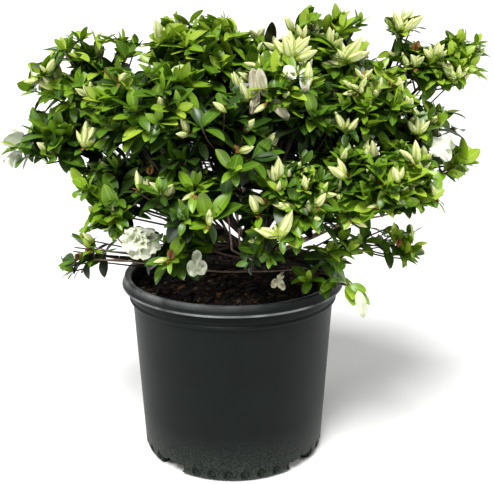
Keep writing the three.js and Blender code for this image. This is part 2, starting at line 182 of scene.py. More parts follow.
bpy.ops.mesh.primitive_circle_add(
    vertices=POT_SEGMENTS, radius=pot_profile[0][0], fill_type="NOTHING", location=(0, 0, 0)
)
pot = bpy.context.object
pot.name = "pot_shell"
bpy.ops.object.mode_set(mode="EDIT")
bpy.ops.mesh.select_all(action="SELECT")
for (r_before, z_before), (r, z) in zip(pot_profile, pot_profile[1:]):
    bpy.ops.mesh.extrude_region_move(TRANSFORM_OT_translate={"value": (0, 0, z - z_before)})
    bpy.ops.transform.resize(value=(r / r_before, r / r_before, 1), center_override=(0, 0, z))
bpy.ops.mesh.edge_face_add()
select_points(pot, lambda vertex: vertex.index < POT_SEGMENTS)
bpy.ops.mesh.edge_face_add()
bpy.ops.mesh.select_all(action="SELECT")
bpy.ops.mesh.normals_make_consistent(inside=False)
bpy.ops.object.mode_set(mode="OBJECT")

# The dimples: each is a round pit pressed into the foot just above its edge, which waves between them.
DIMPLES = 36
DIMPLE_TURN = math.radians(7.7)
DIMPLE_HALF_WIDTH = 5.1 * MM
DIMPLE_MIDDLE = 10.2 * MM
DIMPLE_HALF_HEIGHT = 6 * MM
DIMPLE_DEPTH = 5.2 * MM
PIT_STEEPNESS = 0.34  # below 1, a pit has steep sides and a level bottom
SCALLOP = 0.9 * MM
SCALLOP_TOP = 4 * MM
FOOT_INSIDE = WALL_FOOT_RADIUS - 7 * MM
for vertex in pot.data.vertices:
    x, y, z = vertex.co
    radius = math.hypot(x, y)
    if z > DIMPLE_MIDDLE + DIMPLE_HALF_HEIGHT or radius < FOOT_INSIDE:
        continue
    share = ((math.atan2(x, -y) - DIMPLE_TURN) / TURN * DIMPLES + 0.5) % 1 - 0.5
    across = abs(share) * TURN * radius / DIMPLES / DIMPLE_HALF_WIDTH
    up = (z - DIMPLE_MIDDLE) / DIMPLE_HALF_HEIGHT
    pressed = DIMPLE_DEPTH * max(0.0, 1 - across**2 - up**2) ** PIT_STEEPNESS
    vertex.co.z += max(0.0, 1 - z / SCALLOP_TOP) * SCALLOP * math.cos(TURN * share)
    vertex.co.x -= x / radius * pressed
    vertex.co.y -= y / radius * pressed

# The drain slots: cut through the foot with one rounded punch each.
DRAIN_SLOTS = 4
DRAIN_TURN = math.radians(3)
DRAIN_WIDTH = 36 * MM
DRAIN_HEIGHT = 14 * MM
DRAIN_REACH = 88 * MM
DRAIN_ROUNDING = 5 * MM
for i in range(DRAIN_SLOTS):
    angle = (i + 0.5) * TURN / DRAIN_SLOTS - TURN / 4 + DRAIN_TURN
    bpy.ops.object.select_all(action="DESELECT")
    depth = RIM_RADIUS - DRAIN_REACH
    bpy.ops.mesh.primitive_cube_add(size=1, scale=(depth, DRAIN_WIDTH, 2 * DRAIN_HEIGHT))
    punch = bpy.context.object
    bpy.ops.object.transform_apply(location=False, rotation=False, scale=True)
    bpy.ops.object.mode_set(mode="EDIT")
    bpy.ops.mesh.bevel(offset=DRAIN_ROUNDING, segments=4, affect="EDGES")
    bpy.ops.object.mode_set(mode="OBJECT")
    reach = (RIM_RADIUS + DRAIN_REACH) / 2
    punch.data.transform(Matrix.Rotation(angle, 4, "Z") @ Matrix.Translation((reach, 0, 0)))
    cut = pot.modifiers.new("slot", "BOOLEAN")
    cut.operation = "DIFFERENCE"
    cut.solver = "EXACT"
    cut.object = punch
    bpy.context.view_layer.objects.active = pot
    bpy.ops.object.modifier_apply(modifier="slot")
    bpy.data.objects.remove(punch)
bpy.ops.object.select_all(action="DESELECT")
pot.select_set(True)
bpy.context.view_layer.objects.active = pot
bpy.ops.object.shade_smooth_by_angle(angle=math.radians(34))

# Recycled black polyethylene, injection moulded: satin slate with a faint green cast, a soft mottle
# where the melt flowed, fine scuffs, grainy dust low on the wall, and a painted highlight along the rim's
# lip and on its crest, brightest to the left.
POT_SLATE = "#0c100f"
POT_MOTTLE = "#141a19"
POT_DUST = linear("#40463f")
POT_HIGHLIGHT = linear("#8a8c8b")
MOTTLE_SIZE = 35 * MM
SCUFF_SIZE = 2.5 * MM
SCUFF_DEPTH = 0.15 * MM
DUST_TOP = 62 * MM
pot_plastic, tree, shader = new_material("moulded_polyethylene")
slate, mottle = patches(tree, MOTTLE_SIZE, POT_SLATE, POT_MOTTLE, 3.0)
place = add_node(tree, "ShaderNodeTexCoord").outputs["Object"]
fine = {"Scale": 1 / SCUFF_SIZE, "Detail": 4.0, "Roughness": 0.7}
scuffs = add_node(tree, "ShaderNodeTexNoise", fine, {"Vector": place}).outputs["Fac"]
axes = add_node(tree, "ShaderNodeSeparateXYZ", links={0: place}).outputs
flat = add_node(tree, "ShaderNodeVectorMath", {"operation": "MULTIPLY", 1: (1, 1, 0)}, {0: place})
reach = add_node(tree, "ShaderNodeVectorMath", {"operation": "LENGTH"}, {0: flat.outputs[0]})
# What each share of the surface follows, and the values at which it is 0 and 1: dust lies low and in
# grains, and the painted highlight lies along the rim's lip and on its crest, fading from left to right,
# in spots.
shares = {}
for name, follows, empty, full in (
    ("low", axes["Z"], DUST_TOP, 0.0),
    ("grains", scuffs, 0.4, 0.66),
    ("lip", reach.outputs["Value"], RIM_RADIUS - 0.5 * MM, RIM_RADIUS - 0.1 * MM),
    ("top", axes["Z"], POT_HEIGHT - 7 * MM, POT_HEIGHT + 1.5 * MM),
    ("left", axes["X"], 70 * MM, -100 * MM),
    ("spots", mottle, 0.28, 0.7),
):
    ends = {"From Min": empty, "From Max": full}
    shares[name] = add_node(tree, "ShaderNodeMapRange", ends, {"Value": follows}).outputs[0]
# The painted highlight is the stronger of the lip's band and the crest's band, broken up in spots.
for name, operation, a, b in (
    ("dusty", "MULTIPLY", "low", "grains"),
    ("crest", "MULTIPLY", "top", "left"),
    ("highlit", "MAXIMUM", "lip", "crest"),
    ("painted_highlight", "MULTIPLY", "highlit", "spots"),
):
    both = {0: shares[a], 1: shares[b]}
    shares[name] = add_node(tree, "ShaderNodeMath", {"operation": operation}, both).outputs[0]
# Dust goes over the slate, and the painted highlight over both.
colour = slate
for over, name in ((POT_DUST, "dusty"), (POT_HIGHLIGHT, "painted_highlight")):
    coat = {"data_type": "RGBA", 7: over}
    colour = add_node(tree, "ShaderNodeMix", coat, {0: shares[name], 6: colour}).outputs[2]
tree.links.new(colour, shader.inputs["Base Color"])
shader.inputs["Specular IOR Level"].default_value = 0.11
satin = add_node(tree, "ShaderNodeMapRange", {"To Min": 0.36, "To Max": 0.54}, {"Value": scuffs})
tree.links.new(satin.outputs[0], shader.inputs["Roughness"])
bump = add_node(tree, "ShaderNodeBump", {"Strength": 0.2, "Distance": SCUFF_DEPTH}, {"Height": scuffs})
tree.links.new(bump.outputs[0], shader.inputs["Normal"])
pot.data.materials.append(pot_plastic)
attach(pot, "root")
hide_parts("pot")


# ---- The potting mix ----
# Composted bark with a little perlite: a lumpy dark crust with loose chips lying on it, on top of the
# packed fill, which shows only through the drain slots.
BARK_GRAIN = 3 * MM


def bark_mix(name, sRGB, dark_sRGB):
    """Damp composted bark: matt, broken into grains of a few millimetres."""
    material, tree, shader = new_material(name)
    colour, grains = patches(tree, BARK_GRAIN, dark_sRGB, sRGB, 5.0, 0.7)
    tree.links.new(colour, shader.inputs["Base Color"])
    shader.inputs["Roughness"].default_value = 0.85
    bump = add_node(tree, "ShaderNodeBump", {"Strength": 0.6, "Distance": 1 * MM}, {"Height": grains})
    tree.links.new(bump.outputs[0], shader.inputs["Normal"])
    return material


damp_mix = bark_mix("composted_bark", "#1d140c", "#050302")
SOIL_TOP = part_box("soil")[1].z
SOIL_COVER = 1.5 * MM
SOIL_RADIUS = 124.5 * MM
SOIL_EDGE_DROP = 11 * MM
SOIL_LEVEL_RADIUS = 58 * MM
SOIL_LUMPS = ((28 * MM, 2.4 * MM), (11 * MM, 2.0 * MM), (5 * MM, 1.5 * MM))  # size and height
CRUST_CELLS = 150
CRUST_SKIRT = 14 * MM


def soil_height(x, y):
    """The crust's height: level round the stems, lower at the wall, with lumps of several sizes."""
    share = min(max((math.hypot(x, y) - SOIL_LEVEL_RADIUS) / (SOIL_RADIUS - SOIL_LEVEL_RADIUS), 0), 1)
    lumps = 0.0
    for size, height in SOIL_LUMPS:
        lumps += height * noise.noise(Vector((x / size, y / size, 3.7)))
    return SOIL_TOP + SOIL_COVER - SOIL_EDGE_DROP * share**1.6 + lumps


bpy.ops.mesh.primitive_grid_add(
    x_subdivisions=CRUST_CELLS, y_subdivisions=CRUST_CELLS, size=2 * SOIL_RADIUS
)
crust = bpy.context.object
crust.name = "mix_crust"
bpy.ops.object.mode_set(mode="EDIT")
select_points(crust, lambda vertex: vertex.co.xy.length > SOIL_RADIUS)
bpy.ops.mesh.delete(type="VERT")
bpy.ops.object.mode_set(mode="OBJECT")
for vertex in crust.data.vertices:
    vertex.co.z = soil_height(vertex.co.x, vertex.co.y)
bpy.ops.object.mode_set(mode="EDIT")
bpy.ops.mesh.select_all(action="DESELECT")
bpy.ops.mesh.select_non_manifold()
bpy.ops.mesh.extrude_region_move(TRANSFORM_OT_translate={"value": (0, 0, -CRUST_SKIRT)})
bpy.ops.object.mode_set(mode="OBJECT")
bpy.ops.object.shade_smooth_by_angle(angle=math.radians(50))
crust.data.materials.append(damp_mix)
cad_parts["soil"].data.materials.clear()
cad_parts["soil"].data.materials.append(damp_mix)
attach(crust, "root")


def piece_from_arrays(name, points, faces, material, uv=None, smooth=True):
    """One joined mesh from points in metres; uv has a pair for each corner of each face."""
    mesh = bpy.data.meshes.new(name)
    mesh.from_pydata(points.tolist(), [], faces)
    mesh.materials.append(material)
    if uv is not None:
        layer = mesh.uv_layers.new(name="grain")
        layer.data.foreach_set("uv", np.asarray(uv, np.float32).ravel())
    mesh.polygons.foreach_set("use_smooth", np.full(len(mesh.polygons), smooth))
    mesh.update()
    piece = bpy.data.objects.new(name, mesh)
    bpy.context.scene.collection.objects.link(piece)
    return piece


# The chips: broken slabs of bark, most of them dark and damp, others drier and brown, a few orange, and
# pale bits of perlite.
# For each kind: how many, the shortest and the longest in millimetres, and its two colours.
CHIP_KINDS = (
    ("chips_dark", 1500, 3.5, 15, "#1e130c", "#090503"),
    ("chips_brown", 620, 3, 11, "#735036", "#2e1c10"),
    ("chips_orange", 50, 4, 11, "#a56c36", "#5c3618"),
    ("chips_pale", 420, 1.5, 6, "#b3a68c", "#665b4a"),
)
CHIP_CORNERS = np.array([(x, y, z) for x in (-1, 1) for y in (-1, 1) for z in (-1, 1)], float)
CHIP_FACES = ((0, 1, 3, 2), (4, 6, 7, 5), (0, 4, 5, 1), (2, 3, 7, 6), (0, 2, 6, 4), (1, 5, 7, 3))
CHIP_TIP = 0.35  # how far they lie out of level, in radians
CHIP_SHORTNESS = 2.2  # above 1, most are nearer the shortest
CHIP_MARGIN = 3 * MM
chance = np.random.default_rng(11)
for name, count, shortest, longest, sRGB, dark_sRGB in CHIP_KINDS:
    points, faces = [], []
    for i in range(count):
        away = (SOIL_RADIUS - CHIP_MARGIN) * math.sqrt(chance.random())
        round_ = TURN * chance.random()
        x, y = away * math.cos(round_), away * math.sin(round_)
        length = MM * (shortest + (longest - shortest) * chance.random() ** CHIP_SHORTNESS)
        wide, thick = length * chance.uniform(0.3, 0.7), length * chance.uniform(0.12, 0.3)
        half = np.array((length, wide, thick)) / 2
        corners = CHIP_CORNERS * half * chance.uniform(0.65, 1.25, (8, 3))
        tip = Matrix.Rotation(chance.normal(0, CHIP_TIP), 3, "X")
        tip = tip @ Matrix.Rotation(chance.normal(0, CHIP_TIP), 3, "Y")
        turned = np.array(Matrix.Rotation(TURN * chance.random(), 3, "Z") @ tip)
        middle = np.array((x, y, soil_height(x, y) + half[2] * 0.5))
        faces += [[k + 8 * i for k in face] for face in CHIP_FACES]
        points.append(corners @ turned.T + middle)
    bark = bark_mix(name, sRGB, dark_sRGB)
    chips = piece_from_arrays(name, np.concatenate(points), faces, bark, smooth=False)
    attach(chips, "root")

# ---- Trunk and boughs ----
# A short leaning trunk, flared where it leaves the mix, and boughs that fan from it, each one tapering
# limb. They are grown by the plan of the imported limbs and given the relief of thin, ridged bark. From
# here on, lengths of the plant are in millimetres, and MM takes them to metres as each mesh is made.
SOIL_LEVEL = 224
GAP = 0.3
TRUNK_FOOT = Vector((32, 14, SOIL_LEVEL + GAP))
TRUNK_TOP = Vector((25, 11, 266))
TRUNK_RADIUS = 8
TRUNK_FLARE = 6
BOUGH_TIP = 1.9
UP = Vector((0, 0, 1))
CROWN_MIDDLE = Vector((10, 0, 330))
FULLNESS = 1.14  # how far the masses swell inwards, until they press on one another

# The masses of foliage: the middle and half sizes of the space of each, how many shoots its stem has,
# how many of every ten shoots end in flower buds, the way from the middle to an open flower, and how many
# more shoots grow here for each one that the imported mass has.
MASSES = {
    "top_left": ((-168, -28, 478), (74, 58, 47), 7, 3, None, 1.3),
    "left": ((-206, -18, 404), (72, 56, 42), 6, 4, (-1, -0.1, -0.15), 1.2),
    "left_low": ((-142, -62, 345), (62, 50, 40), 6, 4, None, 1.2),
    "left_sprig": ((-186, -12, 257), (36, 26, 34), 3, 7, None, 0.0),
    "crown_left": ((-86, -112, 450), (66, 54, 52), 6, 1, None, 1.4),
    "top": ((-38, -18, 498), (74, 60, 52), 8, 1, None, 1.6),
    "crown_front": ((-14, -136, 418), (62, 54, 48), 6, 3, None, 1.3),
    "front_low": ((-52, -142, 352), (60, 48, 40), 6, 2, None, 1.2),
    "front_skirt": ((-62, -104, 294), (52, 40, 38), 5, 4, (-1, 0.1, 0.1), 0.6),
    "top_right": ((104, -26, 502), (64, 56, 58), 8, 6, None, 1.5),
    "crown_right": ((58, -92, 462), (56, 48, 48), 6, 4, (-0.5, -1, 0.2), 1.5),
    "right_peak": ((203, 2, 528), (30, 28, 28), 3, 9, None, 0.5),
    "right_top": ((246, -10, 486), (58, 46, 42), 6, 5, None, 1.1),
    "right_upper": ((158, -60, 452), (52, 48, 42), 6, 5, None, 1.8),
    "right": ((236, -12, 402), (66, 52, 44), 6, 5, (0.3, -1, 0.3), 1.0),
    "right_front": ((166, -92, 370), (66, 50, 42), 6, 5, None, 1.8),
    "right_low": ((182, -22, 280), (66, 46, 32), 5, 2, None, 0.2),
    "right_skirt": ((122, -88, 256), (54, 42, 40), 5, 2, (0.7, -0.5, -1), 0.2),
    "front_right": ((66, -130, 344), (56, 44, 48), 6, 7, None, 1.2),
    "back_left": ((-146, 96, 428), (74, 62, 60), 6, 3, None, 2.4),
    "back": ((-26, 132, 452), (72, 60, 62), 6, 2, None, 2.4),
    "back_right": ((114, 108, 444), (74, 62, 64), 6, 4, None, 2.4),
    "back_left_low": ((-106, 132, 336), (64, 52, 46), 5, 2, None, 2.4),
    "back_low": ((24, 166, 342), (64, 50, 48), 5, 3, None, 2.4),
    "back_right_low": ((166, 106, 338), (64, 52, 48), 5, 3, None, 2.4),
    "heart": ((22, 8, 420), (62, 58, 54), 3, 0, None, 8.0),
}

# The boughs, each leading to the mass of its name: the parent, the share of the parent's length at
# which it leaves, how steep it leaves in degrees, and how thick it is there.
BOUGHS = {
    "left": ("trunk", 0.62, 34, 3.6),
    "left_sprig": ("trunk", 0.22, 6, 2.6),
    "crown_left": ("trunk", 0.84, 50, 3.4),
    "top": ("trunk", 0.97, 76, 3.6),
    "front_low": ("trunk", 0.55, 40, 3.1),
    "top_right": ("trunk", 0.93, 66, 3.4),
    "right_top": ("trunk", 0.74, 46, 3.6),
    "right": ("trunk", 0.52, 30, 3.4),
    "right_low": ("trunk", 0.33, 14, 3),
    "front_right": ("trunk", 0.66, 38, 3.1),
    "back_left": ("trunk", 0.8, 46, 3.4),
    "back": ("trunk", 0.88, 56, 3.4),
    "back_right": ("trunk", 0.7, 50, 3.4),
    "top_left": ("left", 0.42, 60, 2.9),
    "left_low": ("left", 0.3, 18, 2.6),
    "crown_front": ("crown_left", 0.34, 46, 2.6),
    "front_skirt": ("front_low", 0.3, 4, 2.5),
    "crown_right": ("top_right", 0.4, 50, 2.6),
    "right_upper": ("right_top", 0.36, 60, 2.6),
    "right_peak": ("right_top", 0.7, 70, 2.5),
    "right_front": ("right", 0.34, 26, 2.6),
    "right_skirt": ("right_low", 0.34, 10, 2.5),
    "back_left_low": ("back_left", 0.3, 20, 2.6),
    "back_low": ("back", 0.28, 20, 2.6),
    "back_right_low": ("back_right", 0.3, 20, 2.6),
    "heart": ("top", 0.3, 70, 2.5),
}


class Mass:
    """The space of one mass of foliage: an ellipsoid, parted from its neighbours by planes."""

    def __init__(self, middle, half, shoots, budded, bloom, fill):
        out = (Vector(middle) - CROWN_MIDDLE).normalized() * Vector(half)
        self.middle = Vector(middle) + out * (1 - FULLNESS)
        self.half = Vector(half) * FULLNESS
        self.shoots = shoots
        self.budded = budded
        self.bloom = bloom
        self.fill = fill

    def half_along(self, way):
        return Vector([h * w for h, w in zip(self.half, way)]).length

    def part_from(self, others):
        self.planes = []
        for other in others:
            if other is not self:
                way = (other.middle - self.middle).normalized()
                own = self.half_along(way)
                share = own / (own + other.half_along(way))
                distance = (other.middle - self.middle).length
                self.planes.append((way, way.dot(self.middle) + distance * share))

    def depth(self, point):
        """0 at the middle of the space, 1 at its edge."""
        return Vector([(p - m) / h for p, m, h in zip(point, self.middle, self.half)]).length

    def holds(self, point, margin):
        return self.depth(point) < 1.02 and all(way.dot(point) < far - margin for way, far in self.planes)

    def entry(self, start):
        """Where a bough from a point enters the space, on the line to its middle."""
        way = (start - self.middle).normalized()
        most = 0.94 / Vector([w / h for w, h in zip(way, self.half)]).length
        out = 0
        point = self.middle.copy()
        while self.holds(point, 4) and out < most:
            out += 1
            point += way
        return point


class Limb:
    """A limb along a smooth curve, walked by shares of its length."""

    def __init__(self, controls, radius):
        self.radius = radius
        degree = len(controls) - 1
        shares = np.linspace(0, 1, 201)[:, None]
        weights = [math.comb(degree, k) * shares**k * (1 - shares) ** (degree - k) for k in range(degree + 1)]
        self.points = sum(w * np.array(c) for w, c in zip(weights, controls))
        steps = np.linalg.norm(np.diff(self.points, axis=0), axis=1)
        self.along = np.concatenate(([0], np.cumsum(steps)))
        self.length = self.along[-1]

    def at(self, share):
        return Vector([np.interp(share * self.length, self.along, self.points[:, k]) for k in range(3)])


masses = {name: Mass(*row) for name, row in MASSES.items()}
for mass in masses.values():
    mass.part_from(masses.values())

bend = TRUNK_FOOT + Vector((0, 0, (TRUNK_TOP.z - TRUNK_FOOT.z) / 2))
limbs = {
    "trunk": Limb(
        (TRUNK_FOOT, bend, TRUNK_TOP),
        lambda share: TRUNK_RADIUS * (1 - 0.25 * share) + TRUNK_FLARE * (1 - share) ** 4,
    )
}
for name, (parent, share, rise, thick) in BOUGHS.items():
    mass = masses[name]
    root = limbs[parent].at(share)
    tip = mass.entry(root)
    length = (tip - root).length
    away = (tip - root).to_2d().to_3d().normalized()
    leaving = away * math.cos(math.radians(rise)) + UP * math.sin(math.radians(rise))
    mass.tip = tip
    mass.inward = (mass.middle - tip).normalized()
    limbs[name] = Limb(
        (root, root + leaving * 0.36 * length, tip - mass.inward * 0.3 * length, tip),
        lambda share, thick=thick: thick + (BOUGH_TIP - thick) * share**0.8,
    )

BARK_STEP = 3.2  # millimetres between rings
BARK_SIDES = 12
RIDGE_SIZE = 2.2
RIDGE_HEIGHT = 0.13  # as a share of the limb's radius
KNOT_SPACING = 16
KNOT_HEIGHT = 0.5


def between_rings(rings, sides, first=0):
    """Faces with four corners from each ring of points to the next."""
    faces = []
    for k in range(rings):
        for j in range(sides):
            a, b = first + k * sides + j, first + k * sides + (j + 1) % sides
            faces.append([a, b, b + sides, a + sides])
    return faces


def bark_tube(limb, number):
    """Rings round a limb, with ridges that run along it and knots here and there."""
    rings = max(4, round(limb.length / BARK_STEP))
    points = []
    side = None
    for k in range(rings + 1):
        share = k / rings
        here = limb.at(share)
        way = (limb.at(min(share + 0.01, 1)) - limb.at(max(share - 0.01, 0))).normalized()
        side = (side or way.orthogonal()) - way * way.dot(side or way.orthogonal())
        side.normalize()
        across = way.cross(side)
        radius = limb.radius(share)
        for j in range(BARK_SIDES):
            angle = TURN * j / BARK_SIDES
            out = side * math.cos(angle) + across * math.sin(angle)
            ridges = noise.noise(Vector((j * 1.3, share * limb.length / (5 * RIDGE_SIZE), number)))
            knots = noise.noise(Vector((share * limb.length / KNOT_SPACING, number * 3.1, 0.5)))
            swell = 1 + RIDGE_HEIGHT * ridges + KNOT_HEIGHT * max(0.0, knots - 0.25)
            points.append(here + out * radius * swell)
    faces = between_rings(rings, BARK_SIDES)
    faces.append(list(range(BARK_SIDES))[::-1])
    faces.append([rings * BARK_SIDES + j for j in range(BARK_SIDES)])
    return np.array(points) * MM, faces


# Thin azalea bark, grown in narrow strips: grey-brown, darker in the furrows, matt.
bark, tree, shader = new_material("azalea_bark")
place = add_node(tree, "ShaderNodeTexCoord").outputs["Object"]
STRIP_SIZE = 4 * MM
STRIP_DEPTH = 0.6 * MM
strip = {"Scale": 1 / STRIP_SIZE, "Detail": 5.0, "Roughness": 0.65}
strips = add_node(tree, "ShaderNodeTexNoise", strip, {"Vector": place}).outputs["Fac"]
colour = add_node(tree, "ShaderNodeValToRGB", links={"Fac": strips})
furrow, ridge = colour.color_ramp.elements
furrow.position = 0.32
furrow.color = linear("#0e0a08")
ridge.position = 0.7
ridge.color = linear("#463a30")
tree.links.new(colour.outputs["Color"], shader.inputs["Base Color"])
shader.inputs["Roughness"].default_value = 0.8
bump = add_node(tree, "ShaderNodeBump", {"Strength": 0.7, "Distance": STRIP_DEPTH}, {"Height": strips})
tree.links.new(bump.outputs[0], shader.inputs["Normal"])

points, faces, count = [], [], 0
for number, limb in enumerate(limbs.values()):
    tube_points, tube_faces = bark_tube(limb, number)
    faces += [[k + count for k in face] for face in tube_faces]
    points.append(tube_points)
    count += len(tube_points)
wood = piece_from_arrays("limbs", np.concatenate(points), faces, bark)
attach(wood, "root")
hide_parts("trunk", *["bough_" + name for name in BOUGHS])

# ---- Twigs ----
# From each bough's tip a stem runs to the middle of the mass, and shoots leave it by the golden angle,
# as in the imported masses. Here more shoots fill the space, and each of them forks again into twigs.
SEED = 5
GOLDEN_ANGLE = math.pi * (3 - math.sqrt(5))
STEM_RADIUS = 1.7
SHOOT_RADIUS = 1.3
TWIG_RADIUS = 0.9
TWIG_END_RADIUS = 0.7
TWIG_CLEARANCE = 8  # over the pot's rim
RIM_CLEARANCE = 4  # beside it
LEAF_INSET = 27  # how far inside the edge of its mass a shoot ends, so that its leaves stay within
LEAST_SPREAD = 9
SIDE_TWIGS = 2
SIDE_TWIG_LENGTHS = (14, 34)
BARE = -0.14  # where the uneven growth is below this, no shoot grows
TWIG_REACH = 0.86  # the share of the way to the edge of its mass that a twig's end may reach
LEAST_SHOOT = 6
BLOOM_SHARE = 0.62  # how far up the stem the shoot with an open flower leaves it
SIDE_STEMS = 5  # thin stems that rise beside each bough
CLUMP_SIZE = 42  # the grain of the uneven growth, in millimetres
# Open sky seen through the crown and in its outline from the front: the middle of each gap, across and
# up, and its half sizes, where it crosses the plane through the pot's axis.
SKY_GAPS = (
    (-273, 434, 24, 15), (-261, 496, 17, 15), (-147, 503, 8, 10), (-193, 486, 5, 7),
    (-116, 492, 12, 10), (-105, 535, 6, 15), (-168, 515, 5, 7), (22, 547, 19, 16),
    (71, 551, 9, 11), (111, 558, 9, 7), (171, 533, 9, 27), (185, 513, 6, 6),
    (244, 547, 18, 14), (217, 466, 8, 11), (276, 454, 38, 11), (304, 413, 19, 15),
    (313, 333, 35, 20), (225, 303, 38, 6), (-208, 311, 28, 21), (-170, 281, 10, 10),
    (51, 298, 10, 12), (-99, 297, 25, 8), (180, 232, 20, 11), (113, 280, 15, 6),
    (24, 422, 8, 4), (-184, 428, 6, 5), (13, 394, 6, 11), (176, 388, 9, 8),
    (-20, 293, 8, 8), (207, 428, 11, 6), (-82, 388, 7, 4), (261, 397, 11, 18),
    (182, 297, 15, 8), (229, 525, 24, 7), (60, 534, 13, 12), (-202, 265, 14, 9),
    (157, 239, 18, 11), (-201, 344, 10, 9), (269, 425, 10, 9), (-230, 502, 11, 10),
    (-268, 406, 11, 6), (237, 281, 9, 6), (-242, 369, 12, 9), (-50, 551, 12, 7),
    (-181, 325, 10, 6), (-218, 369, 9, 8), (-143, 506, 9, 9), (103, 533, 5, 10),
    (292, 475, 8, 10), (202, 549, 12, 6), (297, 494, 6, 6), (-143, 339, 6, 5),
    (-75, 292, 5, 6), (192, 515, 5, 7), (-8, 384, 7, 6), (29, 381, 5, 6),
    (0, 304, 6, 10), (33, 344, 5, 5), (143, 524, 6, 6),
)
# Shoots that stand out at a step's distance: by mass, the places of their ends.
PLACED_SHOOTS = {
    "heart": ((68, -14, 386), (80, 4, 392), (58, -26, 372), (44, -36, 396), (86, 0, 416)),
    "back_right": (
        (97, 92, 390), (110, 92, 392), (124, 92, 394), (100, 88, 380), (113, 88, 380), (107, 50, 438),
        (140, 55, 470), (85, 52, 460), (122, 52, 488), (158, 60, 440),
    ),
    "back_right_low": ((107, 108, 366), (96, 110, 360), (155, 58, 340), (130, 60, 350), (185, 64, 330)),
    "back": ((-24, 72, 446), (-60, 80, 470), (8, 78, 474), (-40, 74, 420), (-10, 82, 494)),
    "back_left": ((-138, 35, 423), (-110, 40, 450), (-170, 42, 440), (-120, 38, 408), (-150, 48, 466)),
    "back_left_low": ((-100, 88, 340), (-130, 90, 330)),
    "top_left": (
        (-225, -40, 463), (-118, -50, 501), (-111, -20, 512), (-147, -54, 509), (-173, -28, 519),
        (-185, -52, 508), (-125, -32, 516), (-160, 14, 488), (-190, 10, 470),
    ),
    "left": ((-213, -58, 382), (-247, -50, 399), (-195, 32, 405), (-220, 26, 420), (-165, 30, 390)),
    "left_low": ((-160, -96, 358), (-159, -76, 311), (-174, -90, 344), (-134, -80, 308), (-144, -80, 313)),
    "left_sprig": ((-195, -32, 254), (-173, -32, 272), (-197, -24, 241)),
    "crown_left": ((-95, -154, 451), (-67, -146, 472), (-132, -130, 435)),
    "top": (
        (-83, -20, 526), (9, -16, 529), (-42, -16, 540), (-12, -34, 533), (-63, -20, 536),
        (-11, -68, 489), (-50, -64, 513), (-35, 34, 500), (-70, 28, 510), (0, 30, 512),
    ),
    "crown_front": ((-27, -170, 437), (4, -170, 393)),
    "front_low": ((-34, -162, 377), (-71, -170, 369), (-45, -178, 344), (-18, -150, 338)),
    "front_skirt": ((-27, -124, 306), (-102, -106, 302)),
    "top_right": (
        (90, -52, 538), (123, -56, 530), (168, -19, 499), (142, -34, 535), (98, 22, 500), (130, 15, 518),
        (70, 20, 518),
    ),
    "crown_right": ((58, -128, 470), (88, -98, 425), (101, -98, 428)),
    "right_top": (
        (260, -24, 515), (271, -42, 490), (248, -44, 463), (281, -22, 513), (240, 28, 485), (215, 24, 498),
        (262, 20, 470),
    ),
    "right_upper": ((128, -94, 451), (147, -100, 444), (117, -62, 424), (166, -62, 487)),
    "right": (
        (241, -46, 426), (269, -32, 377), (247, -24, 436), (255, -35, 366), (266, -32, 388), (225, 34, 400),
        (200, 30, 420), (250, 26, 385),
    ),
    "right_front": (
        (105, -76, 386), (112, -60, 374), (212, -100, 352), (183, -122, 350), (155, -126, 390),
        (169, -132, 369), (208, -112, 377), (125, -106, 341), (210, -110, 346),
    ),
    "right_low": ((189, -56, 295), (217, -50, 281), (206, -52, 270), (155, -58, 287), (210, -41, 262)),
    "right_skirt": ((109, -104, 289), (135, -100, 288)),
    "front_right": (
        (53, -156, 367), (96, -134, 375), (44, -136, 295), (23, -140, 289), (105, -130, 367), (77, -123, 392),
    ),
}
